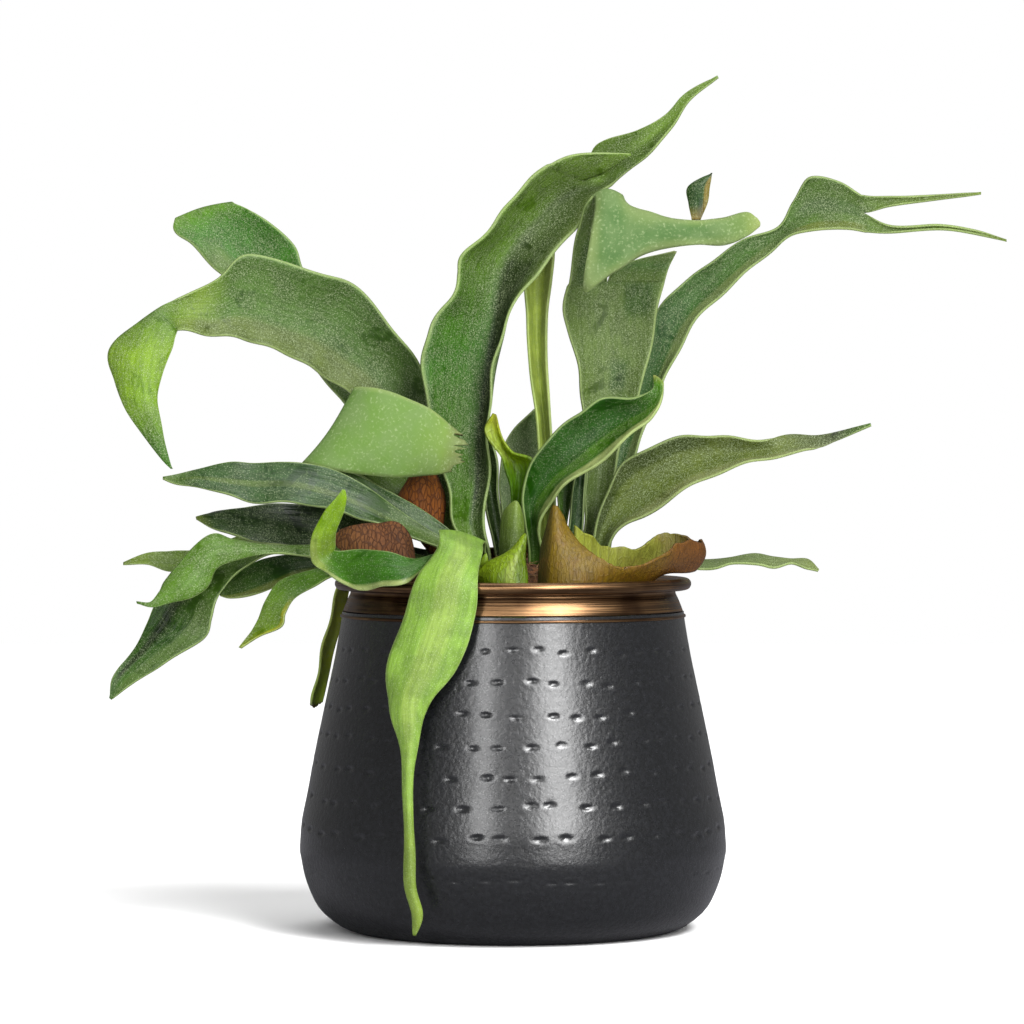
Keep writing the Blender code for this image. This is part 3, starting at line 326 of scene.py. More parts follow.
# %% [markdown]
# ## The collar's ring
# The sheet's edge is rolled over into a bead, which hides the raw edge and
# stiffens the mouth. A closed outline turned round the axis gives both.

# %% The collar's ring
COLLAR = [
    (67.9, 127.6), (67.2, 129.5), (66.0, 132.4), (65.0, 134.6), (65.2, 135.6), (66.2, 136.3),
    (67.6, 136.2), (69.2, 135.9), (70.5, 136.5), (71.2, 137.8), (71.1, 139.1), (70.2, 140.2),
    (68.9, 140.6), (67.3, 140.4), (65.6, 139.4), (64.4, 137.8), (63.8, 135.6), (63.8, 134.4),
    (64.6, 132.4), (65.6, 129.5), (66.5, 127.6), (67.9, 127.6),
]


def turned_ring(name, outline, around, mat):
    """A ring with this closed outline, turned round the pot's axis."""
    line = catmull(outline, 4)[:-1]
    angle = np.arange(around) * 2 * math.pi / around
    rings = [np.stack([r * np.cos(angle), r * np.sin(angle), np.full(around, z)], axis=1)
             for r, z in line]
    return new_piece(name, np.vstack(rings), revolve_rings(rings, around), [mat])


collar = turned_ring("copper_collar", COLLAR, 240, copper)
joins(collar, "copper_collar", "neck_collar")
seam = turned_ring("copper_seam_line", [
    (68.2, 124.9), (68.9, 125.0), (69.1, 125.5), (68.9, 126.0), (68.2, 126.1), (68.2, 124.9)],
    240, copper)
joins(seam, "copper_collar")
print("collar rings:", collar.name, seam.name)

# %% [markdown]
# ## The fronds as ladders
# Each rung gives a frond's left margin, midrib and right margin in millimetres,
# seen with its upper face towards the eye and the frond growing away. "tines"
# carry on from the left and right halves of a forked frond's last rung, and
# "tip" is the single point where a blade ends.

# %% Frond ladders
FRONDS = {
    "frond_tall": {
        "stem": [
            ((-15, -7, 139), (-12, -3, 138), (-9, -7, 139)),
            ((-17, -9, 150), (-13, -3, 150), (-9, -7, 150)),
            ((-23.5, -10, 162), (-17.5, -2, 162), (-12, -6, 162)),
            ((-26.5, -8, 178), (-16, 2, 178), (-10, -3, 178)),
            ((-31, -6, 199), (-15, 8, 200), (-9.5, -2, 200)),
            ((-36.5, -4, 222), (-12.7, 12, 221), (-8.6, -1, 222)),
            ((-33.5, -3, 240), (-9.7, 14, 240), (-4, -1, 240)),
            ((-24.3, -3, 252), (-7.8, 15, 252), (2.5, 0, 252)),
            ((-21.8, -2, 262), (-6, 16, 262), (9, 1, 261)),
            ((-19.5, -2, 270), (-3, 16, 270), (15, 4, 269)),
            ((-8, -1, 282), (5, 17, 281), (24.5, 8, 280)),
            ((3, 0, 296), (17, 17, 294), (31.5, 11, 291)),
            ((14, 1, 305), (28, 15, 300), (39.5, 12, 298)),
        ],
        "tines": [
            [((27, 2, 310), (33, 6, 307), (38, 11, 304)), (47, 4, 310)],
            [((33.5, 17, 314.4), (40, 14.5, 308.5), (45, 11, 302.5)),
             ((50, 10, 320), (52.5, 10, 315), (55.5, 6, 311.5)),
             ((61, 8, 326), (62.3, 8, 323.5), (63.8, 6, 321)),
             ((69, 6, 334.5), (69.8, 6, 333), (70.5, 5, 331.3)),
             (82, 4, 341)],
        ],
    },
    "frond_arch": {
        "stem": [
            ((-15, 10, 139), (-13, 11, 140), (-11, 11, 141)),
            ((-19, 11, 151), (-16, 13, 153), (-13, 12, 155)),
            ((-31, 14, 168), (-26, 17, 172), (-21, 16, 176)),
            ((-46, 16, 190), (-37, 20, 197), (-28, 18, 204)),
            ((-62, 14, 211), (-48, 20, 220), (-37, 16, 224)),
            ((-74, 10, 220), (-61, 17, 233), (-48, 12, 240)),
            ((-85, 6, 227), (-75, 13, 243), (-64, 8, 257.8)),
            ((-99, 0, 233), (-92, 7, 248), (-81, 3, 263.2)),
            ((-111, -6, 236.7), (-108, 1, 252), (-106, -2, 270)),
            ((-122, -11, 237.6), (-119.5, -5, 248), (-117, -6, 260)),
            ((-132, -16, 239), (-132, -11, 247), (-130, -9, 253.5)),
            ((-133.3, -21, 238), (-140, -20, 244.5), (-146.5, -17, 244)),
            ((-134.2, -25, 232), (-147, -26, 233), (-159, -22, 231)),
            ((-138.2, -27, 221.5), (-148.5, -29, 221), (-157.2, -26, 219)),
            ((-140, -29, 211), (-147, -31, 210.5), (-153, -28, 209.5)),
            ((-138, -31, 199), (-142.5, -32, 199.5), (-147.3, -30, 200)),
            ((-135.5, -32, 189), (-137.5, -32.5, 189.5), (-139.5, -32, 190)),
        ],
        "tip": (-134.3, -32, 184.4),
    },
    "frond_back_left": {
        "stem": [
            ((-13, 19, 138), (-11, 21, 139), (-9, 20, 140)),
            ((-18, 21, 152), (-15, 24, 154), (-12, 22, 156)),
            ((-34, 25, 171), (-29, 30, 175), (-23, 27, 179)),
            ((-60, 27, 200), (-50, 32, 206), (-42, 28, 212)),
            ((-77.5, 30, 221), (-66, 35, 231), (-55, 31, 240)),
            ((-93, 33, 238), (-82, 39, 249), (-70, 35, 258)),
            ((-112, 36, 257), (-99, 42, 262), (-84.5, 38, 264)),
            ((-122, 38, 266), (-107, 44, 272), (-89.5, 41, 275)),
            ((-131, 40, 275), (-115, 45, 281), (-100, 43, 285)),
            ((-138.5, 42, 281.5), (-128, 47, 288), (-113, 46, 292)),
            ((-137, 49, 286), (-128, 54, 289.8), (-117, 54, 292)),
        ],
        "tip": (-129, 62, 282),
    },
    "frond_folded_torn": {
        "stem": [
            ((-16, 4, 139), (-15, 5, 140), (-14, 6, 141)),
            ((-22, 3.5, 152), (-21, 5, 155), (-19, 6, 158)),
            ((-34, 3, 165), (-33, 6, 171), (-31, 8, 177)),
            ((-50, 0, 175.5), (-49, 3, 184), (-46, 5, 192)),
            ((-66, -6, 183), (-64, -3, 194), (-58, 0, 205)),
            ((-83.5, -13, 187), (-72, -11, 200.5), (-63.5, -8, 215.5)),
            ((-77, -20, 185), (-65.5, -18.5, 199), (-57, -15, 216.3)),
            ((-62, -22, 182.3), (-54.5, -23, 198), (-46, -19, 214)),
            ((-46, -21, 181.2), (-41.5, -24, 196), (-36, -20, 209.5)),
            ((-33, -19, 181.5), (-30.5, -22, 192), (-28, -18, 203.8)),
            ((-24.5, -18, 183.5), (-20.5, -20, 191.5), (-23, -17, 200)),
        ],
    },
    "frond_left_1": {
        "stem": [
            ((-17, -15, 140), (-17, -14, 141), (-17, -13, 142)),
            ((-26, -20, 151), (-26, -18, 153), (-26, -17, 155)),
            ((-35, -23, 155), (-35, -20, 158), (-35, -18.5, 161)),
            ((-47, -27, 160.5), (-48, -23, 164), (-46, -21, 168.5)),
            ((-60, -30, 165), (-61, -26, 171), (-59, -24, 178)),
            ((-73, -32, 168.5), (-74, -28, 176), (-73, -26, 184.8)),
            ((-87, -34, 171), (-88, -30, 179), (-88, -28, 187)),
            ((-101, -35, 171.3), (-102, -31, 179), (-102, -29, 186.5)),
            ((-111, -35, 174), (-112, -32, 180), (-111, -30, 187)),
            ((-123, -35, 177), (-124, -33, 181), (-123, -31, 184.4)),
            ((-132, -34.5, 178.2), (-132, -33.5, 180.2), (-132, -32.5, 182.2)),
        ],
        "tip": (-137.5, -34, 180.8),
    },
    "frond_left_1b": {
        "stem": [
            ((-13, -11, 139), (-14, -10, 140.5), (-14, -9, 142)),
            ((-19, -14, 149), (-20, -12.5, 151.5), (-20, -12, 154)),
            ((-28, -16, 153), (-28, -14, 157), (-27, -13, 161.5)),
            ((-40, -18, 158), (-40, -15, 164), (-39.5, -14, 170)),
            ((-52, -19, 166), (-52, -16, 171), (-51.5, -15, 176.5)),
            ((-63, -19, 175), (-63, -18, 178.5), (-63, -17, 182)),
        ],
        "tip": (-73, -20, 183.5),
    },
    "frond_left_2": {
        "stem": [
            ((-19, 3, 138), (-19, 4, 140), (-19, 5, 142)),
            ((-30, 0, 144.3), (-30, 2, 147), (-30, 4, 150)),
            ((-43, -3, 145.5), (-43, 0, 149.5), (-43, 2, 154)),
            ((-60, -8, 150.5), (-60, -5, 157), (-60, -3, 164)),
            ((-78, -14, 153), (-79, -10, 161), (-78, -8, 169)),
            ((-91, -18, 153.5), (-93, -14, 162), (-94.5, -12, 170.5)),
            ((-103, -20, 155.8), (-106, -17, 163), (-107, -15, 168.7)),
            ((-113, -21, 158.8), (-116, -18, 164), (-117, -16, 167.3)),
            ((-119.5, -20.5, 161), (-120.5, -19, 164), (-121, -17.5, 166.2)),
        ],
        "tip": (-125.5, -19, 164.7),
    },
    "frond_left_3": {
        "stem": [
            ((-18, -11, 138), (-18, -10, 139.5), (-18, -9, 141)),
            ((-28, -15, 143.5), (-28, -13.2, 145.3), (-28, -11.5, 147)),
            ((-50, -16, 147.5), (-50, -14, 150), (-50, -12, 152.5)),
            ((-78, -21, 149.5), (-78, -19, 151.5), (-78, -17, 154)),
            ((-96, -25, 150.8), (-97, -24, 152.3), (-98, -22, 154)),
            ((-108.5, -29, 148.5), (-110, -29.5, 152.5), (-110.5, -26, 156.5)),
            ((-116, -32, 145.5), (-118.5, -33, 151.5), (-119.2, -29, 158)),
            ((-120, -34, 138.5), (-125.5, -36, 144), (-131.5, -32, 147)),
            ((-127, -36, 134), (-131, -38, 139), (-137, -34, 140.5)),
            ((-135, -37, 131.8), (-137, -38, 134.5), (-138.5, -36, 136)),
            ((-141.5, -38, 130.3), (-142, -38.3, 131.2), (-142, -38, 132.2)),
        ],
        "tip": (-147.5, -38, 132),
    },
    "frond_left_4": {
        "stem": [
            ((-20, -3, 137), (-20, -2, 138.5), (-20, -1, 140)),
            ((-31, -5, 141), (-31, -4, 143), (-31, -2.5, 145)),
            ((-52, -9, 143), (-52, -7.5, 144.8), (-52, -6, 146.5)),
            ((-80, -11, 149), (-80, -9, 151), (-80, -7, 152.5)),
            ((-96, -14, 150.5), (-97, -12, 151.7), (-97, -10, 153)),
            ((-107, -18, 144.5), (-110, -15, 147.5), (-112, -13, 150.5)),
            ((-116, -21, 135), (-122, -18, 140), (-127, -15, 146)),
            ((-119, -23, 125), (-130, -19, 130), (-140, -17, 133.5)),
            ((-122.5, -24, 117), (-136, -20, 120.5), (-145, -18, 123)),
            ((-137, -25, 108), (-144, -21, 112), (-149.5, -20, 113.5)),
            ((-147, -25, 101.5), (-152, -23, 104.5), (-155.5, -22, 106)),
            ((-153.5, -25, 97), (-156.5, -24, 99), (-158.5, -24, 101)),
        ],
        "tip": (-159, -25, 93.4),
    },
    "frond_left_tip": {
        "stem": [
            ((-19, 8, 138), (-19, 9, 140), (-19, 10, 142)),
            ((-32, 8, 144), (-32, 9.5, 146), (-32, 11, 148)),
            ((-60, 5, 151.5), (-60, 7, 154), (-60, 9, 156.5)),
            ((-100, 2, 153), (-100, 4, 156), (-100, 6, 159)),
            ((-122, -2, 146), (-123, 0, 149), (-123, 1, 152.3)),
            ((-136, -4, 143.2), (-136, -2, 147), (-136, -1, 151.3)),
            ((-146, -5, 146), (-146, -4, 148), (-146, -3, 150.5)),
        ],
        "tip": (-155.5, -5, 146.3),
    },
    "frond_left_5": {
        "stem": [
            ((-21, 0, 135), (-21, 1, 137), (-21, 2, 139)),
            ((-33, -1, 138), (-33, 0.5, 140), (-33, 2, 142)),
            ((-52, 0, 142.6), (-52, 2.5, 145), (-52, 4.5, 147.5)),
            ((-70, 0, 143.3), (-70, 2.5, 146.5), (-70, 5, 149.5)),
            ((-85, -2, 141.5), (-85, 1, 146), (-85, 4, 150.3)),
            ((-96, -4, 136.8), (-97, -1, 142.5), (-99, 2, 148)),
            ((-105, -5, 133.5), (-107, -2, 138), (-109, 1, 143)),
            ((-112.5, -5, 132.8), (-114, -3, 135), (-115, -1, 138)),
        ],
        "tip": (-117, -4, 133.8),
    },
    "frond_yellow_tip": {
        "stem": [
            ((-18, -14.5, 135), (-18, -13, 136), (-18, -12, 137)),
            ((-30, -20, 140), (-30, -18.5, 141), (-30, -17, 142)),
            ((-48, -24, 142.8), (-48, -22, 144), (-48, -20, 145.2)),
            ((-68, -27, 142.8), (-69, -24.5, 144.5), (-69, -22, 146)),
            ((-78, -28, 138), (-80, -26, 141), (-80.5, -24, 144)),
            ((-86, -29, 133.5), (-89, -27, 137), (-92, -25, 139.8)),
            ((-89.5, -30, 127.5), (-94, -28, 130.5), (-97.5, -27, 132.5)),
            ((-91, -31, 122.3), (-95.5, -29, 123.8), (-100.5, -28, 125)),
            ((-99.5, -31, 118.6), (-101.5, -30, 119.2), (-103.5, -29.5, 119.8)),
        ],
        "tip": (-107.5, -31, 114),
    },
    "frond_side_hanging": {
        "stem": [
            ((-21, 13, 136), (-21, 14, 136.5), (-21, 15, 136)),
            ((-34, 15, 141), (-34, 17, 141.5), (-34, 19, 141)),
            ((-50, 20, 144), (-50, 22.5, 144.7), (-50, 25, 144)),
            ((-60.5, 24, 144.3), (-60, 27.5, 145), (-59, 31, 144.3)),
            ((-68, 25, 142.5), (-66.5, 29, 143), (-65, 33, 142.5)),
            ((-70.7, 24, 136), (-69.5, 29, 136), (-67, 33.5, 136)),
            ((-73.2, 23, 126), (-71.5, 28, 126), (-68.5, 32, 126)),
            ((-77, 22, 112), (-75.5, 26.5, 112), (-72.5, 30, 112)),
            ((-79, 21, 101), (-77.5, 25, 101), (-74.5, 28, 101)),
            ((-81, 20, 92), (-80, 24, 91), (-77, 27, 91)),
            ((-81.6, 21, 88.8), (-80.5, 24, 88), (-78, 27, 89.5)),
        ],
    },
    "frond_curl": {
        "stem": [
            ((-13, -19, 137), (-13, -18.5, 139), (-13, -18, 141)),
            ((-21, -30, 144), (-20, -29, 147), (-19, -28, 149)),
            ((-33, -52, 146), (-31, -48, 149), (-30, -44, 151)),
            ((-42, -62, 140), (-41, -59, 145), (-40, -52, 149.5)),
            ((-50.5, -59, 139), (-50, -57.5, 145), (-49, -52, 152)),
            ((-57.5, -53, 137.2), (-58.5, -51.5, 144.5), (-58.5, -46, 153)),
            ((-63, -49, 138.3), (-65, -46, 144), (-67, -42, 152)),
            ((-71, -46, 143.5), (-72, -43, 147), (-70, -41, 152.5)),
            ((-78.5, -43, 148), (-75.5, -43, 151), (-69.5, -42, 154)),
            ((-78, -45, 158), (-75, -46, 159), (-69, -45, 160)),
            ((-73.5, -48, 167.5), (-70.3, -48.5, 168), (-66, -47, 168)),
            ((-69, -50, 173), (-67.3, -50, 173), (-65, -49, 173)),
        ],
        "tip": (-66, -50, 176.4),
    },
    "frond_front_hanging": {
        "stem": [
            ((-9, -14, 139), (-11, -15, 140), (-13, -14, 139)),
            ((-10, -24, 148), (-14, -25, 150), (-19, -24, 149)),
            ((-11, -34, 153.5), (-18, -35, 157.5), (-25.5, -33, 157.5)),
            ((-11.8, -46, 155), (-20, -48, 159.3), (-28.8, -45, 160.3)),
            ((-12.4, -60, 150.5), (-20.5, -63, 152.5), (-28.8, -58, 155)),
            ((-13.7, -71, 141.5), (-25, -72, 142), (-36, -66, 144)),
            ((-14.6, -73, 128), (-28, -74, 128), (-41.6, -68, 129)),
            ((-21.5, -75, 108), (-35, -76, 108), (-48.5, -69, 107)),
            ((-31.5, -76, 95.5), (-40, -77, 95), (-47.8, -71, 94)),
            ((-36.8, -77, 78), (-40, -78, 78), (-43.3, -75, 78)),
            ((-38.8, -79, 60), (-40.4, -80, 60), (-42, -78, 60)),
            ((-37.8, -82, 40), (-39.5, -83, 40), (-41.4, -81, 40)),
            ((-37.3, -83, 25), (-39.2, -84, 25), (-41.4, -82, 25)),
            ((-35, -82, 14), (-36.7, -83, 13.5), (-38.5, -81, 14)),
        ],
        "tip": (-37.8, -81, 6),
    },
    "frond_stalk_pale": {
        "stem": [
            ((9, 10, 137), (11, 12, 136), (13, 10, 137)),
            ((10, 14, 150), (13, 17, 149), (16, 14, 150)),
            ((11, 17, 170), (14, 21, 170), (17, 17, 170)),
            ((10, 20, 200), (12.7, 26, 200), (15.3, 20, 200)),
            ((6.8, 21, 225), (10.3, 27, 225), (13.8, 21, 225)),
            ((5.7, 22, 245), (9.8, 28, 245), (13.6, 22, 245)),
            ((5, 23, 260), (10.5, 29, 260), (15.5, 23, 260)),
            ((8, 25, 275), (12, 29, 275), (16.5, 25, 275)),
        ],
        "tip": (13, 28, 287),
    },
    "frond_broad": {
        "stem": [
            ((28, 4, 137), (30, 6, 136.5), (32, 4, 137)),
            ((27.5, 5, 149), (30.5, 8, 148.5), (34, 6, 149)),
            ((29, 8, 163), (33, 11, 162.5), (37, 8, 163)),
            ((29, 11, 180), (34.5, 15, 180), (40, 12, 180)),
            ((28.5, 13, 197), (36, 18, 197), (44.5, 15, 197)),
            ((28, 14, 213), (39, 20, 213), (51, 17, 214)),
            ((24.5, 14, 232), (39, 21, 232), (55.5, 18, 232)),
            ((20, 13, 246), (38, 21, 248), (58.5, 18, 249)),
            ((22.5, 12, 257), (38, 20, 259), (61, 17, 259)),
        ],
        "tines": [
            [((24, 11, 268), (31, 14, 269), (38, 15, 270)),
             ((26, 7, 280), (32.5, 9, 281), (39.5, 9, 282)),
             ((29, 1, 289), (34, 2, 291), (41, 3, 291)),
             ((32.5, -2, 292.5), (37, -2, 295.3), (42.5, 0, 293)),
             ((31, -7, 278), (38, -6, 286), (45, -2, 290.5)),
             ((28.3, -7, 255), (40, -8, 273), (50, -3, 287.8)),
             ((39, -7, 262.5), (48, -9, 273), (55.5, -4, 286.2)),
             ((50, -6, 268.8), (56, -8, 277), (61, -5, 284.7)),
             ((65, -5, 272.6), (66, -7, 278), (68, -5, 283)),
             ((74, -4, 273.5), (74.5, -5, 278), (75, -4, 283)),
             ((84, -3, 273.2), (84, -5, 279), (84, -3, 284.3)),
             ((93, -2, 277.3), (94, -3, 281.5), (93, -2, 286.5)),
             ((98, -2, 281), (98.6, -2.4, 282.3), (97.3, -2, 284))],
            [((44, 18, 266), (52, 18, 266), (63, 16, 265.5)), (65.6, 16, 271.6)],
        ],
    },
    "frond_broad_flap": {
        "stem": [
            ((71.2, -4.4, 283.4), (73, -4.3, 283.4), (74.8, -4.2, 283.4)),
            ((70.2, -2, 290), (73.5, -3, 290), (77.6, -2, 290.5)),
            ((69.8, -2, 296.5), (74, -3, 297), (78.4, -2, 296.5)),
        ],
        "tip": (78.8, -1.5, 301.5),
    },
    "frond_right_long": {
        "stem": [
            ((33, 12, 136), (34.5, 13, 135), (36, 12, 136)),
            ((33, 16, 150), (36, 19, 149), (39, 16, 150)),
            ((34, 22, 172), (38, 25, 170), (43, 22, 172)),
            ((42, 27, 202), (47, 31, 199), (52, 27, 196)),
            ((51, 29, 227), (56.5, 32, 222), (61, 27, 219)),
            ((60, 29, 250), (66, 31, 244), (71.5, 26, 240.5)),
            ((73.5, 29, 262.5), (80, 31, 258.5), (86, 26, 255.5)),
            ((93, 28, 276.5), (98, 29, 273.5), (103, 25, 271)),
            ((107.6, 27, 282), (108.7, 28, 279.3), (110, 23, 276.8)),
            ((114, 26, 292.3), (114.5, 27, 285), (116, 21, 279)),
            ((119.7, 24, 302), (122.5, 27, 290), (125, 20, 280.8)),
            ((131.5, 24, 300), (133.5, 26, 290), (135, 21, 280.3)),
            ((141, 24, 294.8), (142, 25, 287.5), (142.5, 22, 279.7)),
        ],
        "tines": [
            [((153, 23, 294), (152.5, 24, 292), (152, 23, 290)),
             ((168, 22, 294.4), (168, 22.5, 293.3), (168, 22, 292.2)),
             (189, 20, 295.2)],
            [((153, 21, 282), (153, 22, 280.7), (153, 21, 279.3)),
             ((172, 19, 282.3), (172, 20, 281.5), (172, 19, 280.6)),
             ((186, 18, 280.3), (186, 18.5, 279.5), (186, 18, 278.7)),
             (199, 17, 276)],
        ],
    },
    "frond_right_low": {
        "stem": [
            ((31, -4, 137), (33, -3, 136.5), (35, -5, 137)),
            ((31.5, -3, 149), (34, 0, 148), (37, -4, 148)),
            ((33.5, -3, 162), (37, 1, 160), (41, -6, 159)),
            ((40, -3, 181.5), (46, 1, 173), (52, -8, 165.3)),
            ((50, -4, 190.3), (57.5, 0, 181), (64, -10, 173)),
            ((66, -5, 196.5), (71, -2, 187), (76.5, -11, 180)),
            ((82, -6, 197.2), (87.5, -4, 191), (92, -12, 186.2)),
            ((99, -8, 195.8), (103, -7, 192), (106, -12, 189.5)),
            ((111, -3, 198), (113, -7, 194), (115, -11, 191)),
            ((121, -5, 197.2), (121.5, -8, 194.5), (122, -9, 192.5)),
            ((130, -6, 199), (130, -7, 197.5), (130.5, -8, 196)),
        ],
        "tip": (142.5, -8, 201.8),
    },
    "frond_glossy": {
        "stem": [
            ((6.5, -10, 138), (8.5, -9, 138), (10.5, -11, 138)),
            ((6.3, -14, 151), (8.5, -12, 151), (11.5, -15, 150)),
            ((4.8, -16, 163), (7.5, -12, 162), (10.5, -19, 160)),
            ((3.2, -17, 174.5), (8, -13, 171.5), (13, -21, 168)),
            ((8, -19, 187), (14.5, -15, 181), (19, -25, 176.5)),
            ((15, -21, 197), (23, -18, 189), (29.5, -27, 183.5)),
            ((25, -23, 205.3), (33, -19, 197.5), (39, -29, 191)),
            ((34, -24, 212), (42, -21, 204), (48, -31, 199)),
            ((46, -26, 212.2), (51, -25, 208), (54, -31, 204.5)),
            ((54.5, -27, 215.3), (56.8, -28, 212.5), (58, -30, 210)),
            ((55.5, -25, 219), (57.5, -26, 218.8), (59.3, -27, 217)),
        ],
        "tip": (56, -23, 220.8),
    },
    "frond_back_grey": {
        "stem": [
            ((-2, 19, 138), (0.5, 21, 137.5), (3, 19, 138)),
            ((-3, 22, 152), (0.5, 25, 152), (4, 22, 152)),
            ((-5, 28, 170), (1, 31, 170), (7, 29, 170)),
            ((-4.7, 32, 189), (3, 35, 189), (10, 33, 187)),
            ((0.3, 34, 199.5), (6, 36, 198), (12, 34, 196)),
        ],
        "tip": (9.3, 35, 208),
    },
    "frond_teal": {
        "stem": [
            ((21.5, 1, 137), (23.5, 2, 136.5), (25.5, 1, 137)),
            ((21.8, 1, 149), (24, 3, 149), (26.5, 2, 149)),
            ((22.5, 2, 163), (25.3, 4, 163), (28, 3, 163)),
            ((24.5, 2, 180), (26.8, 4, 180), (29, 3, 181)),
            ((26.5, 3, 191), (28.2, 4, 191.5), (30, 3, 192)),
        ],
        "tip": (30, 3, 200),
    },
    "frond_small_green": {
        "stem": [
            ((15, 3, 137), (17, 4, 137), (19, 4, 137)),
            ((16, 4, 150), (18, 6, 150), (20, 5, 150)),
            ((18.5, 6, 165), (20, 7.5, 165), (22, 7, 165)),
            ((18, 7, 180), (21.5, 9, 180), (24.5, 8, 180)),
        ],
        "tip": (22.5, 8, 194),
    },
    "frond_right_small": {
        "stem": [
            ((36, 13.5, 130), (36, 12, 129.5), (36, 10.5, 130)),
            ((47, 17, 143), (47, 14, 142.3), (47, 11, 142)),
            ((62, 19, 146.3), (62, 14, 145), (62, 9, 144.3)),
            ((77, 20, 147), (78, 14, 145.3), (79, 9, 143.6)),
            ((88, 19, 147.8), (88, 14, 147), (88, 9, 146)),
            ((98, 20, 149.4), (98, 14, 147.5), (98, 8, 145.4)),
            ((105, 19, 148.3), (105, 14, 146.5), (105, 9, 144.1)),
            ((112, 17, 147.3), (112, 14, 146.7), (112, 11, 146)),
            ((119, 17, 147.2), (119, 13.5, 145.7), (118, 10, 144)),
        ],
        "tip": (123, 13, 143),
    },
    "frond_centre_dark": {
        "stem": [
            ((-5, 3, 138), (-3.5, 4, 138), (-2, 3, 138)),
            ((-7, 2, 150), (-5, 4, 150), (-3, 3, 150)),
            ((-9.5, 3, 162), (-7.5, 6, 162), (-4.5, 4, 162)),
            ((-12, 5, 175), (-9, 8, 175), (-6, 6, 175)),
            ((-13.5, 9, 188), (-10.5, 12, 188), (-6.5, 9, 188)),
        ],
        "tip": (-11, 12, 201),
    },
    "young_roll": {
        "stem": [
            ((-4, -13, 138), (0, -18, 138), (4, -13.5, 138)),
            ((-5, -15, 150), (0, -22, 150), (4.5, -17, 150)),
            ((-4.8, -15, 160), (0, -21.5, 160), (4.3, -18, 160)),
            ((-3.5, -15, 167), (0.5, -20, 167), (3.3, -17, 167)),
        ],
        "tip": (1, -18, 171.5),
    },
    "sprout": {
        "stem": [
            ((-12, -32, 118), (-11, -32.5, 118), (-10, -32, 118)),
            ((-12.6, -36, 143), (-11.5, -36.6, 143), (-10.4, -36, 143)),
            ((-12.6, -36.5, 147), (-11.3, -37, 147.5), (-10, -36.5, 148)),
        ],
        "tip": (-10.8, -36.5, 151),
    },
}

print("frond ladders:", len(FRONDS))

# %% [markdown]
# ## The shields as ladders
# The shields that clasp the stem use the same kind of rungs.

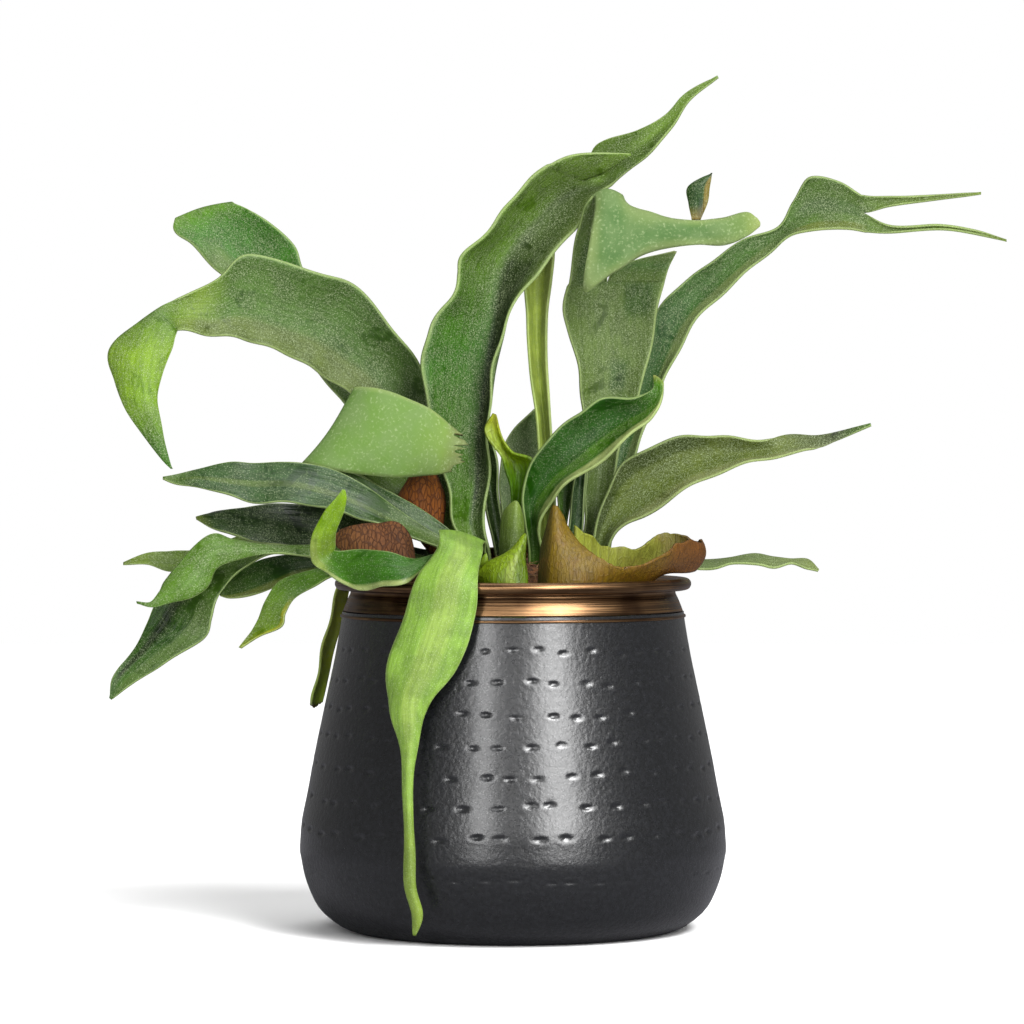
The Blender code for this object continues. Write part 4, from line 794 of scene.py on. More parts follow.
# %% Shield ladders
SHIELDS = {
    "shield_ochre": {
        "stem": [
            ((11.5, -44, 156), (10, -48, 142), (9, -45, 114)),
            ((16.2, -45, 171.5), (15, -53, 152), (14, -53, 129)),
            ((21.5, -46, 162.5), (22, -55, 149), (22, -56.5, 134)),
            ((32, -52, 151.5), (32, -54.5, 144), (31, -52.5, 134)),
            ((46, -50, 147), (44.5, -47.5, 142.7), (42, -44, 134)),
            ((58, -42, 150.8), (56, -40, 147), (50, -34, 138)),
            ((67, -31, 156.6), (67, -28, 150), (62, -24, 143.3)),
            ((73.5, -17, 155.5), (76, -14, 149.5), (73, -12, 143.8)),
            ((72, -5, 156.5), (72, -4.5, 150), (68, -4, 144.3)),
            ((62, 1.5, 160), (60.5, 1, 152), (57, 0.5, 142)),
            ((49, -6, 153.5), (47.5, -6, 146), (46, -6, 136)),
            ((35, -13, 156), (35, -13, 147), (35, -12, 136)),
            ((25, -20, 162.5), (24.5, -20, 151), (25, -19, 137)),
        ],
    },
    "shield_green": {
        "stem": [
            ((-12, -43, 114), (-4, -49.5, 114), (5, -46.5, 114)),
            ((-13.5, -44, 136), (-4, -52, 136), (5, -49, 136)),
            ((-13.5, -44, 143), (-4, -52, 143.5), (5.2, -48, 144)),
            ((-7, -44, 148.5), (-1, -49, 150), (5.1, -46, 151)),
            ((-0.5, -43.5, 153.5), (2.5, -45, 155), (5, -43, 157)),
        ],
        "tip": (4.6, -42, 158.8),
    },
    "shield_fold": {
        "stem": [
            ((0.5, -3.5, 138), (2, -3, 138), (3.5, -4, 138)),
            ((0, -4, 150), (1.6, -3.5, 150), (3, -5, 150)),
            ((-1, -6, 162), (0.6, -5, 162), (2.3, -7, 162)),
            ((-0.7, -8, 177), (2.5, -5, 176), (4.8, -9, 178)),
            ((-4, -10, 187), (1, -4, 185), (8, -11, 187)),
            ((-7.7, -10, 193), (-3, -5, 191), (-0.5, -9, 190)),
            ((-11, -9, 200), (-7, -7, 199), (-4, -8, 196)),
        ],
        "tip": (-7.4, -8, 206),
    },
    "shield_old_net": {
        "stem": [
            ((-25, -6.3, 142.5), (-23.5, -7, 141.5), (-22, -6.5, 141.5)),
            ((-37, -5, 155), (-32, -8, 153), (-26.5, -5, 152)),
            ((-45, -4, 165), (-36, -9.5, 164), (-27.5, -4, 163)),
            ((-46, -4, 173), (-36, -10, 174), (-27.5, -2.5, 173)),
            ((-41, -4, 180), (-35, -8, 181), (-29, -2, 180)),
            ((-38, -3, 184), (-35, -4, 185), (-32, -2.5, 184)),
        ],
    },
    "shield_dry_left": {
        "stem": [
            ((-26, -36, 113), (-31, -33, 120), (-35, -29, 132)),
            ((-38, -38, 134), (-40, -36, 149), (-43, -31, 161)),
            ((-45, -38, 139), (-50, -37, 152), (-54, -33, 163)),
            ((-54, -39, 145), (-60, -37, 154), (-62.5, -33, 161.5)),
            ((-64, -34, 148), (-68.5, -33, 154), (-70, -29.5, 159.5)),
        ],
    },
    "shield_back": {
        "stem": [
            ((-38, 25, 150), (-38, 27, 138), (-36, 26, 112)),
            ((-26, 37, 155), (-27, 41, 140), (-26, 37, 112)),
            ((-10, 43, 152), (-10, 47, 140), (-10, 43, 112)),
            ((8, 44, 156), (8, 48, 140), (8, 44, 112)),
            ((24, 38, 150), (25, 43, 138), (24, 38, 112)),
            ((36, 29, 147), (37, 32, 137), (36, 29, 112)),
        ],
    },
}
print("shield ladders:", len(SHIELDS))

# %% [markdown]
# ## From rungs to sheets
# A smooth curve runs through matching points of the rungs, and a shallow curve
# runs across each one, so a frond bends and cups like one piece of leather.
# Margins ripple a little, since a leaf's edge grows faster than its middle.
# Each point also remembers how far along and across the leaf it lies: the
# finishes use that for the pale margin and the veins.

# %% Sheet helpers
COLUMNS, STEPS = 20, 9


def close_tip(rungs):
    """A tip given as one point becomes a last, very short rung."""
    out = [np.array(rung, dtype=float) for rung in rungs if np.ndim(rung) == 2]
    if np.ndim(rungs[-1]) == 1:
        across = out[-1][2] - out[-1][0]
        across = across / np.linalg.norm(across) * 0.5
        tip = np.array(rungs[-1], dtype=float)
        out.append(np.array([tip - across, tip, tip + across]))
    return out


def across_points(rung, columns):
    """Points on the shallow curve through left margin, midrib and right margin."""
    s = np.linspace(-1, 1, columns + 1)[:, None]
    return rung[0] * (s * (s - 1) / 2) + rung[1] * (1 - s * s) + rung[2] * (s * (s + 1) / 2)


def half(rung, side):
    """The left or right half of a rung."""
    row = across_points(rung, 4)
    return row[0:3] if side == 0 else row[2:5]


def sheet_rows(rungs, columns, before=None):
    """Rows of points along the sheet through the rungs."""
    first = 2 * rungs[0] - rungs[1] if before is None else before
    path = np.array([first] + list(rungs) + [2 * rungs[-1] - rungs[-2]])
    rows = []
    for i in range(1, len(path) - 2):
        for k in range(STEPS):
            t = k / STEPS
            p0, p1, p2, p3 = path[i - 1:i + 3]
            rung = 0.5 * (2 * p1 + (p2 - p0) * t + (2 * p0 - 5 * p1 + 4 * p2 - p3) * t * t
                          + (3 * p1 - p0 - 3 * p2 + p3) * t ** 3)
            rows.append(across_points(rung, columns))
    rows.append(across_points(rungs[-1], columns))
    return np.array(rows)


print("columns across a leaf:", COLUMNS)

# %% [markdown]
# ## Rippled and torn margins
# A ripple lifts the sheet along its own normal. Torn ends move the last rows
# along the leaf, and chewed margins pull the first columns inward.

# %% Ripples and leaf sheets
def ripple(rows, s, seed, amount):
    """Waves a sheet's margins up and down, growing towards the edge and fading at both ends."""
    along = np.gradient(rows, axis=0)
    over = np.gradient(rows, axis=1)
    normal = np.cross(over, along)
    normal /= np.maximum(np.linalg.norm(normal, axis=2, keepdims=True), 1e-9)
    middle = rows[:, rows.shape[1] // 2]
    run = np.concatenate([[0], np.cumsum(np.linalg.norm(np.diff(middle, axis=0), axis=1))])
    width = np.linalg.norm(rows[:, -1] - rows[:, 0], axis=1)
    fade = np.clip(width / 14, 0, 1) * np.clip(run / 25, 0, 1)
    left, right = np.sin(run / 3.4 + seed), np.sin(run / 4.3 + 2.0 * seed)
    wave = np.where(s[None, :] < 0, left[:, None], right[:, None])
    slow = np.sin(run / 9.0 + 1.3 * seed)[:, None] * np.sin(2.2 * s + seed)[None, :]
    lift = amount * (np.abs(s[None, :]) ** 3 * wave * 0.7 + 0.5 * slow) * fade[:, None]
    return rows + normal * lift[:, :, None], run


def leaf_sheet(table, seed, amount, ragged=0.0, chewed=0.0):
    """Points, faces and per-point place of a leaf: along in rungs, across, side mm and run mm."""
    stem = close_tip(list(table["stem"]) + ([table["tip"]] if "tip" in table else []))
    points, places, faces = [], [], []
    rng = np.random.default_rng(seed)

    def lay(rows, s, t0, t1, run0, joined):
        rows, run = ripple(rows, s, seed, amount)
        count, wide = rows.shape[:2]
        if ragged and not table.get("tines"):
            tear = rng.uniform(-1.0, 1.0, wide) * ragged
            for back, share in ((1, 1.0), (2, 0.55), (3, 0.25)):
                step = rows[-back] - rows[-back - 1]
                step /= np.maximum(np.linalg.norm(step, axis=1, keepdims=True), 1e-9)
                rows[-back] += step * (tear * share)[:, None]
        if chewed:
            marks = np.arange(0, count + 3, 3)
            bite = np.interp(np.arange(count), marks, rng.uniform(0, 1, len(marks)))
            bite = chewed * bite * rng.uniform(0.6, 1.0, count)
            inward = rows[:, 3] - rows[:, 0]
            inward /= np.maximum(np.linalg.norm(inward, axis=1, keepdims=True), 1e-9)
            for j, share in ((0, 1.0), (1, 0.7), (2, 0.4), (3, 0.15)):
                rows[:, j] += inward * (bite * share)[:, None]
        previous = joined
        for i in range(1 if joined is not None else 0, count):
            ids = list(range(len(points), len(points) + wide))
            middle = rows[i, wide // 2]
            for j in range(wide):
                points.append(rows[i, j])
                side = np.linalg.norm(rows[i, j] - middle) * (1 if j > wide // 2 else -1)
                places.append((t0 + (t1 - t0) * i / (count - 1), s[j], side, run0 + run[i]))
            if previous is not None:
                for a, b, c, d in zip(previous, previous[1:], ids[1:], ids):
                    faces.append((a, b, c, d))
            previous = ids
        return previous, run0 + run[-1]

    s = np.linspace(-1, 1, COLUMNS + 1)
    end, run = lay(sheet_rows(stem, COLUMNS), s, 0.0, 1.0, 0.0, None)
    for number, tine in enumerate(table.get("tines", [])):
        rungs = [half(stem[-1], number)] + close_tip(tine)
        rows = sheet_rows(rungs, COLUMNS // 2, half(stem[-2], number))
        keep = end[:COLUMNS // 2 + 1] if number == 0 else end[COLUMNS // 2:]
        lay(rows, np.linspace(-1, 1, COLUMNS // 2 + 1), 1.0 + number * 2, 2.0 + number * 2, run, keep)
    return points, faces, np.array(places)


print("sheets ready")

# %% [markdown]
# ## One leaf
# The tint is stored point by point, so a single finish can serve many leaves of
# different greens. Solidify then gives the sheet its thickness, and its
# material offset gives the underside a finish of its own.

# %% Tinted leaves
LEAF_THICK = 1.0
# The tones are those of a leaf in full light; the leaf itself is this much darker,
# most of all in blue.
LEAF_SHADE = np.array([0.34, 0.36, 0.17])


def tint_points(places, tones, patches):
    """A colour for each point: tones along the leaf, then softer-edged local patches."""
    t = places[:, 0]
    stops = np.array([srgb(code)[:3] for _, code in tones])
    where = [at for at, _ in tones]
    along = np.where(t > 2, t - 2, t)
    colour = np.stack([np.interp(along, where, stops[:, c]) for c in range(3)], axis=1)
    for t0, t1, s0, s1, code, strength in patches:
        soft_t, soft_s = max((t1 - t0) * 0.25, 0.01), max((s1 - s0) * 0.25, 0.02)
        a = np.clip(np.minimum(t - t0, t1 - t) / soft_t + 0.5, 0, 1)
        b = np.clip(np.minimum(places[:, 1] - s0, s1 - places[:, 1]) / soft_s + 0.5, 0, 1)
        amount = (a * b * strength)[:, None]
        colour = colour * (1 - amount) + np.array(srgb(code)[:3]) * amount
    return colour * LEAF_SHADE


def leaf_piece(name, table, look, mats, seed, amount=0.9, ragged=0.0, chewed=0.0):
    """One leaf: a tinted sheet with a thickness, an upper finish and a felted underside."""
    slot_name, tones, patches = look
    points, faces, places = leaf_sheet(table, seed, amount, ragged, chewed)
    leaf = new_piece(name, points, faces, mats)
    mesh = leaf.data
    colour = mesh.attributes.new("tint", "FLOAT_COLOR", "POINT")
    rgba = np.concatenate([tint_points(places, tones, patches), np.ones((len(places), 1))], axis=1)
    colour.data.foreach_set("color", rgba.astype(np.float32).ravel())
    for label, column in (("across", 1), ("side", 2), ("along", 3)):
        made = mesh.attributes.new(label, "FLOAT", "POINT")
        made.data.foreach_set("value", places[:, column].astype(np.float32))
    solid = leaf.modifiers.new("Leaf thickness", "SOLIDIFY")
    solid.thickness = LEAF_THICK * MM
    solid.offset = 0.0
    solid.material_offset = 1
    solid.material_offset_rim = 0
    joins(leaf, slot_name, name)
    return leaf


print("leaf thickness in mm:", LEAF_THICK)

# %% [markdown]
# ## Leaf finishes
# A staghorn frond is covered with tiny white star-shaped hairs. They scatter
# light, so the green looks dusty and grey, and where the plant has been touched
# the hairs rub off in patches that show dark, glossy leaf. So a leaf is a tint,
# veins, a dust of hairs with dots for single ones, and bare patches.

# %% Leaf finishes
def frond_top(name, dust, bare, rough):
    """Upper side: dust is how grey the hairs make it, bare how much has rubbed clean."""
    mat, tree, shader = finish_named(name)
    place = add(tree, "ShaderNodeTexCoord").outputs["Object"]
    tint = add(tree, "ShaderNodeAttribute", attribute_name="tint").outputs["Color"]
    across = add(tree, "ShaderNodeAttribute", attribute_name="across").outputs["Fac"]
    side = add(tree, "ShaderNodeAttribute", attribute_name="side").outputs["Fac"]
    along = add(tree, "ShaderNodeAttribute", attribute_name="along").outputs["Fac"]
    # Veins run lengthwise, about 1.5 mm apart, and wander as they go.
    across_veins = add(tree, "ShaderNodeMath", {0: side, 1: 0.7}, operation="MULTIPLY").outputs[0]
    along_veins = add(tree, "ShaderNodeMath", {0: along, 1: 0.055}, operation="MULTIPLY").outputs[0]
    vein_place = add(tree, "ShaderNodeCombineXYZ", {"X": across_veins, "Y": along_veins}).outputs[0]
    veins = add(tree, "ShaderNodeTexNoise", {"Vector": vein_place, "Scale": 1.0, "Detail": 2.0}).outputs[0]
    # Mottling about 10 mm across, bare patches about 14 mm.
    mottle = add(tree, "ShaderNodeTexNoise", {"Vector": place, "Scale": 100.0, "Detail": 5.0,
                                              "Roughness": 0.65}).outputs[0]
    rubbed = add(tree, "ShaderNodeTexNoise", {"Vector": place, "Scale": 70.0, "Detail": 6.0,
                                              "Roughness": 0.7, "Distortion": 0.6}).outputs[0]
    clean = steps(tree, rubbed, 0.60 - bare, 0.66 - bare)
    # The hairs lie like a powder of grains 0.6 mm apart, thick in some places and thin in others.
    grains = add(tree, "ShaderNodeTexNoise", {"Vector": place, "Scale": 1700.0, "Detail": 2.0,
                                              "Roughness": 0.7}).outputs[0]
    powder = add(tree, "ShaderNodeMath", {0: steps(tree, grains, 0.42, 0.66),
                                          1: steps(tree, mottle, 0.3, 0.7, dust * 1.2, dust * 4.0)},
                 operation="MULTIPLY").outputs[0]
    # Single larger hairs show as pale dots 0.3 mm wide, a little under a millimetre apart.
    stars = add(tree, "ShaderNodeTexVoronoi", {"Vector": place, "Scale": 1300.0}).outputs["Distance"]
    star = steps(tree, stars, 0.34, 0.12)
    base = mix(tree, steps(tree, mottle, 0.35, 0.65, 0.0, 0.45), tint,
               mix(tree, 1.0, tint, srgb("#8a9478"), "MULTIPLY"))
    base = mix(tree, steps(tree, veins, 0.42, 0.62, 0.0, 0.35), base,
               mix(tree, 1.0, base, srgb("#b9c49a"), "MULTIPLY"))
    hairy = mix(tree, powder, base, srgb("#7f8c66"))
    hairy = mix(tree, add(tree, "ShaderNodeMath", {0: star, 1: 0.14 + dust}, operation="MULTIPLY",
                          use_clamp=True).outputs[0], hairy, srgb("#b4bf9c"))
    bare_leaf = mix(tree, 0.35, base, mix(tree, 1.0, base, srgb("#7d9a5a"), "MULTIPLY"))
    body = mix(tree, clean, hairy, bare_leaf)
    edge = add(tree, "ShaderNodeMath", {0: across}, operation="ABSOLUTE").outputs[0]
    rim = steps(tree, edge, 0.95, 1.0, 0.0, 0.45)
    into(tree, mix(tree, rim, body, srgb("#8ea064")), shader.inputs["Base Color"])
    into(tree, steps(tree, clean, 0.0, 1.0, rough, 0.33), shader.inputs["Roughness"])
    shader.inputs["IOR"].default_value = 1.45
    # Hairs break up most of the mirror-like glance of the skin.
    shader.inputs["Specular IOR Level"].default_value = 0.22
    low = bump(tree, veins, 0.35)
    high = add(tree, "ShaderNodeBump", {"Height": powder, "Distance": 0.12 * MM, "Normal": low})
    into(tree, high.outputs["Normal"], shader.inputs["Normal"])
    return mat


print("upper finish ready")

# %% [markdown]
# ## Felted undersides
# The underside is never rubbed, so its hairs stay as an even, matte felt that
# lets only part of the green through.

# %% Undersides
def frond_under(name, felt):
    """Underside: the same tint under a felt of hairs."""
    mat, tree, shader = finish_named(name)
    place = add(tree, "ShaderNodeTexCoord").outputs["Object"]
    tint = add(tree, "ShaderNodeAttribute", attribute_name="tint").outputs["Color"]
    fluff = add(tree, "ShaderNodeTexNoise", {"Vector": place, "Scale": 900.0, "Detail": 3.0}).outputs[0]
    cloud = add(tree, "ShaderNodeTexNoise", {"Vector": place, "Scale": 120.0, "Detail": 4.0}).outputs[0]
    amount = steps(tree, cloud, 0.3, 0.7, felt - 0.15, felt + 0.15)
    felted = mix(tree, amount, tint, srgb("#62744c"))
    speck = mix(tree, steps(tree, fluff, 0.52, 0.75, 0.0, 0.4), felted, srgb("#8f9c74"))
    into(tree, speck, shader.inputs["Base Color"])
    shader.inputs["Roughness"].default_value = 0.85
    shader.inputs["Specular IOR Level"].default_value = 0.15
    into(tree, bump(tree, fluff, 0.12), shader.inputs["Normal"])
    return mat


print("underside finish ready")

# %% [markdown]
# ## Four kinds of frond
# Older fronds are dustier and younger ones brighter and glossier, so the same
# two finishes are made four times with different amounts.

# %% Four kinds of frond
FROND_TOPS = {
    "leaf_grey_green": frond_top("fern leaf, dusty with hairs", 0.12, 0.01, 0.50),
    "leaf_dark": frond_top("fern leaf, dark and rubbed", 0.06, 0.07, 0.42),
    "leaf_pale": frond_top("fern leaf, pale and powdery", 0.06, -0.06, 0.48),
    "leaf_bright": frond_top("fern leaf, young and bright", 0.04, 0.03, 0.40),
}
FROND_UNDERS = {
    "leaf_grey_green": frond_under("fern underside, grey felt", 0.40),
    "leaf_dark": frond_under("fern underside, thin felt", 0.25),
    "leaf_pale": frond_under("fern underside, thick felt", 0.45),
    "leaf_bright": frond_under("fern underside, young felt", 0.25),
}
print("leaf finishes:", len(FROND_TOPS) + len(FROND_UNDERS))

# %% [markdown]
# ## Tints of the fronds
# Each frond has tones along it, at 0 for the foot and 1 for the end of the
# stem (1 to 2 along a tine), and patches: from, to along; from, to across.

# %% Tints of the fronds
LOOKS = {
    "frond_tall": ("leaf_grey_green",
        [(0, "#86a055"), (0.2, "#5c8a28"), (0.45, "#3f7d10"), (0.7, "#6a9438"), (1, "#7a9e45"),
         (2, "#86a850")],
        # The first two patches are painted shade: the right half of the channel, turned from the light.
        [(0.15, 0.8, 0.05, 0.85, "#1c2a12", 0.9), (0.74, 1.0, 0.05, 0.9, "#4c5f3c", 0.75),
         (0.2, 1.0, 0.86, 1.1, "#6b8048", 0.8), (2.9, 3.6, 0.2, 1.1, "#4f6a34", 0.6)]),
    "frond_arch": ("leaf_grey_green",
        [(0, "#6f8d55"), (0.3, "#5c8248"), (0.5, "#628a45"), (0.56, "#8fae3c"), (0.64, "#6f9a3c"),
         (0.72, "#9cc430"), (0.84, "#93bf2a"), (0.92, "#4e8a00"), (1, "#3f7a00")],
        [(0.12, 0.6, -1.1, -0.45, "#858f62", 0.7)]),
    "frond_back_left": ("leaf_grey_green",
        [(0, "#4f8a30"), (0.4, "#468a1c"), (0.75, "#4a9418"), (1, "#9cc02c")],
        [(0.3, 0.7, -1.1, -0.5, "#8d9c78", 0.6)]),
    "frond_folded_torn": ("leaf_pale",
        [(0, "#7a9a50"), (0.4, "#4a7a2a"), (0.5, "#6c9c40"), (0.6, "#84b45c"), (0.8, "#7fae50"),
         (0.92, "#94b850"), (1, "#8f8468")],
        [(0.1, 0.45, -1.1, 1.1, "#7fa02c", 0.5), (0.5, 0.95, 0.93, 1.1, "#d0deb4", 0.7),
         (0.5, 0.95, -1.1, -0.93, "#d0deb4", 0.5)]),
    "frond_left_1": ("leaf_dark",
        [(0, "#7a9450"), (0.4, "#3c6440"), (0.8, "#3c6238"), (1, "#6a8a40")],
        [(0.2, 0.9, -0.25, 0.05, "#7f9458", 0.5)]),
    "frond_left_1b": ("leaf_dark",
        [(0, "#5a8038"), (0.6, "#33601c"), (1, "#5a8038")],
        []),
    "frond_left_2": ("leaf_dark",
        [(0, "#3a5a1c"), (0.5, "#1e3a0c"), (0.85, "#2f5216"), (1, "#7a8a30")],
        []),
    "frond_left_3": ("leaf_grey_green",
        [(0, "#5a7a34"), (0.6, "#6f9e3a"), (1, "#6f9e3a")],
        []),
    "frond_left_4": ("leaf_dark",
        [(0, "#5a7a34"), (0.4, "#5a7c34"), (0.7, "#3d6a20"), (1, "#54802c")],
        # The first patch is painted shade: the dark channel where the upper half lies under the frond above.
        [(0.55, 0.9, 0.1, 0.5, "#1c2c10", 0.8), (0.55, 0.95, -1.0, -0.4, "#7c9270", 0.5)]),
    "frond_left_tip": ("leaf_grey_green",
        [(0, "#5a7a34"), (0.7, "#7a9a35"), (1, "#8aa03a")],
        []),
    "frond_left_5": ("leaf_dark",
        [(0, "#48682c"), (0.6, "#3a6a1c"), (1, "#5a7c30")],
        [(0.2, 1.0, -1.1, -0.6, "#a0aa60", 0.7)]),
    "frond_yellow_tip": ("leaf_dark",
        [(0, "#4f7a20"), (0.5, "#5c8c1c"), (0.85, "#7c9c1c"), (1, "#98a81c")],
        [(0.6, 1.0, -1.1, -0.75, "#c8c020", 0.7)]),
    # These tones are far paler than the leaf's own: painted light, because the pot shades this frond.
    "frond_side_hanging": ("leaf_bright",
        [(0, "#a0c83c"), (0.35, "#fcff80"), (0.65, "#f8ff78"), (0.92, "#d0f048"), (1, "#6c4c20")],
        []),
    "frond_curl": ("leaf_bright",
        [(0, "#4f8020"), (0.3, "#3c7a18"), (0.55, "#4f8a1c"), (0.7, "#98b840"), (0.78, "#a4d018"),
         (1, "#a4d018")],
        [(0.2, 0.6, -1.1, -0.7, "#e2ead0", 0.8), (0.6, 0.75, -1.1, -0.2, "#b0c080", 0.7)]),
    "frond_front_hanging": ("leaf_pale",
        [(0, "#8cb85c"), (0.2, "#a8d470"), (0.45, "#aedc74"), (0.75, "#b4dc78"), (1, "#a4c45c")],
        [(0.25, 0.65, -0.45, 0.3, "#d8eeaa", 0.5), (0.75, 1.0, -1.1, 1.1, "#a8bc60", 0.6)]),
    "frond_stalk_pale": ("leaf_pale",
        [(0, "#a8c468"), (0.3, "#e0f494"), (0.8, "#e4f898"), (1, "#c4e070")],
        [(0.1, 1.0, 0.5, 1.1, "#dce6bc", 0.7)]),
    "frond_broad": ("leaf_grey_green",
        [(0, "#6f8c50"), (0.4, "#728a58"), (0.8, "#77905c"), (1, "#748f58"), (1.3, "#6d8c50"),
         (1.5, "#6a9460"), (1.9, "#8aa870"), (2, "#d4dca8")],
        [(1.33, 1.9, -1.1, -0.6, "#a8b898", 0.8), (1.33, 1.85, -0.4, 0.6, "#4f8258", 0.85),
         (1.35, 1.9, 0.8, 1.1, "#b4c4a4", 0.8), (0.5, 0.62, 0.2, 0.6, "#2c5c10", 0.7),
         (0.64, 0.72, 0.0, 0.5, "#2f6010", 0.7), (0.85, 1.0, 0.35, 0.9, "#34641a", 0.75),
         (1.0, 1.12, -0.6, 0.4, "#3a6a1c", 0.6)]),
    "frond_broad_flap": ("leaf_dark",
        [(0, "#a88a58"), (0.3, "#2f5c1c"), (1, "#2f5c1c")],
        [(0.1, 1.0, 0.55, 1.1, "#b49460", 0.8)]),
    "frond_right_long": ("leaf_grey_green",
        [(0, "#4f7c50"), (0.4, "#4f7f58"), (0.6, "#5f8a4c"), (1, "#6b8a4c"), (2, "#8aa050")],
        [(0.1, 0.6, 0.5, 1.1, "#aab49a", 0.6), (0.75, 1.0, -0.3, 0.3, "#44683a", 0.6),
         (0.72, 1.0, 0.65, 1.1, "#7f8a44", 0.8)]),
    "frond_right_low": ("leaf_grey_green",
        [(0, "#6a7c3c"), (0.3, "#7a8a44"), (0.7, "#7f8c50"), (0.9, "#4c5446"), (1, "#5c8a20")],
        [(0.15, 0.5, -1.1, -0.5, "#46582c", 0.7), (0.2, 0.85, 0.7, 1.1, "#a8aa98", 0.7)]),
    "frond_glossy": ("leaf_dark",
        [(0, "#5c8a30"), (0.25, "#2f6a10"), (0.7, "#2f6c0c"), (0.88, "#5d9c00"), (1, "#d8d490")],
        [(0.2, 0.85, 0.25, 0.7, "#6c9c3c", 0.6), (0.2, 0.9, 0.75, 1.1, "#dce4c8", 0.8)]),
    "frond_back_grey": ("leaf_grey_green",
        [(0, "#6a8468"), (1, "#86a488")],
        []),
    "frond_teal": ("leaf_dark",
        [(0, "#3c5c44"), (1, "#4a6a54")],
        []),
    "frond_small_green": ("leaf_dark",
        [(0, "#4c7a28"), (1, "#5a8c2c")],
        []),
    "frond_right_small": ("leaf_grey_green",
        [(0, "#6f8a58"), (0.6, "#94a880"), (1, "#a4b088")],
        []),
    "frond_centre_dark": ("leaf_dark",
        [(0, "#33501c"), (1, "#3a5c20")],
        []),
    "young_roll": ("leaf_pale",
        [(0, "#7a944c"), (0.6, "#86a055"), (1, "#9cb46a")],
        []),
    "sprout": ("leaf_bright",
        [(0, "#7ea020"), (1, "#b4d820")],
        []),
}
print("tinted fronds:", len(LOOKS))

# %% [markdown]
# ## Laying out the fronds
# Stiff stalks and rolled leaves hardly ripple. Each frond's number seeds its own
# ripple, so no two match and every run gives the same plant.

# %% Fronds
FROND_RIPPLE = 0.9
RAGGED = {"frond_folded_torn": 3.2, "frond_broad_flap": 1.2, "frond_side_hanging": 1.0}
RIPPLES = {"frond_stalk_pale": 0.2, "young_roll": 0.1, "sprout": 0.1, "frond_right_small": 0.3}

for number, (name, table) in enumerate(FRONDS.items()):
    finishes = [FROND_TOPS[LOOKS[name][0]], FROND_UNDERS[LOOKS[name][0]]]
    leaf_piece(name, table, LOOKS[name], finishes, number + 3,
               RIPPLES.get(name, FROND_RIPPLE), RAGGED.get(name, 0.0))
print("fronds:", len(FRONDS))

# %% [markdown]
# ## Shield finishes
# Shields clasp the root ball. They come up green, then die and stay on as
# paper: ochre first, brown with a raised net of veins later. The net is the
# wall between Voronoi cells about 1.6 mm wide, stretched up the shield.

# %% Shield finishes
def shield_finish(name, dead, net, rough):
    """dead is how much brown mottles it, net how strongly the veins stand out."""
    mat, tree, shader = finish_named(name)
    place = add(tree, "ShaderNodeTexCoord").outputs["Object"]
    tint = add(tree, "ShaderNodeAttribute", attribute_name="tint").outputs["Color"]
    tall = add(tree, "ShaderNodeMapping", {"Vector": place, "Scale": (1.0, 1.0, 0.4)}).outputs[0]
    cells = add(tree, "ShaderNodeTexVoronoi", {"Vector": tall, "Scale": 640.0},
                feature="DISTANCE_TO_EDGE").outputs["Distance"]
    wall = steps(tree, cells, 0.14, 0.02)
    fibre_place = add(tree, "ShaderNodeMapping", {"Vector": place, "Scale": (900.0, 900.0, 60.0)}).outputs[0]
    fibre = add(tree, "ShaderNodeTexNoise", {"Vector": fibre_place, "Scale": 1.0, "Detail": 3.0}).outputs[0]
    blotch = add(tree, "ShaderNodeTexNoise", {"Vector": place, "Scale": 110.0, "Detail": 5.0,
                                              "Roughness": 0.65}).outputs[0]
    base = mix(tree, steps(tree, blotch, 0.45, 0.7, 0.0, dead), tint, srgb("#5c3818"))
    base = mix(tree, steps(tree, fibre, 0.4, 0.65, 0.0, 0.4), base,
               mix(tree, 1.0, base, srgb("#8f8468"), "MULTIPLY"))
    veined = mix(tree, add(tree, "ShaderNodeMath", {0: wall, 1: net}, operation="MULTIPLY").outputs[0],
                 base, mix(tree, 1.0, base, srgb("#6a4a2c"), "MULTIPLY"))
    into(tree, veined, shader.inputs["Base Color"])
    shader.inputs["Roughness"].default_value = rough
    shader.inputs["Specular IOR Level"].default_value = 0.25
    low = bump(tree, wall, 0.35 * net + 0.05)
    high = add(tree, "ShaderNodeBump", {"Height": fibre, "Distance": 0.15 * MM, "Normal": low})
    into(tree, high.outputs["Normal"], shader.inputs["Normal"])
    return mat


print("shield finish ready")

# %% [markdown]
# ## Three ages of shield
# A fresh shield is waxy and nearly plain, a drying one mottled, and a dead one
# matte with its net of veins standing out.

# %% Three ages of shield
SHIELD_TOPS = {
    "shield_ochre": shield_finish("shield leaf, ochre and drying", 0.35, 0.10, 0.50),
    "shield_green": shield_finish("shield leaf, fresh and waxy", 0.05, 0.15, 0.42),
    "shield_dry": shield_finish("shield leaf, dead and papery", 0.45, 0.55, 0.75),
}
print("shield finishes:", len(SHIELD_TOPS))

# %% [markdown]
# ## Tints of the shields
# They are written like the tints of the fronds.

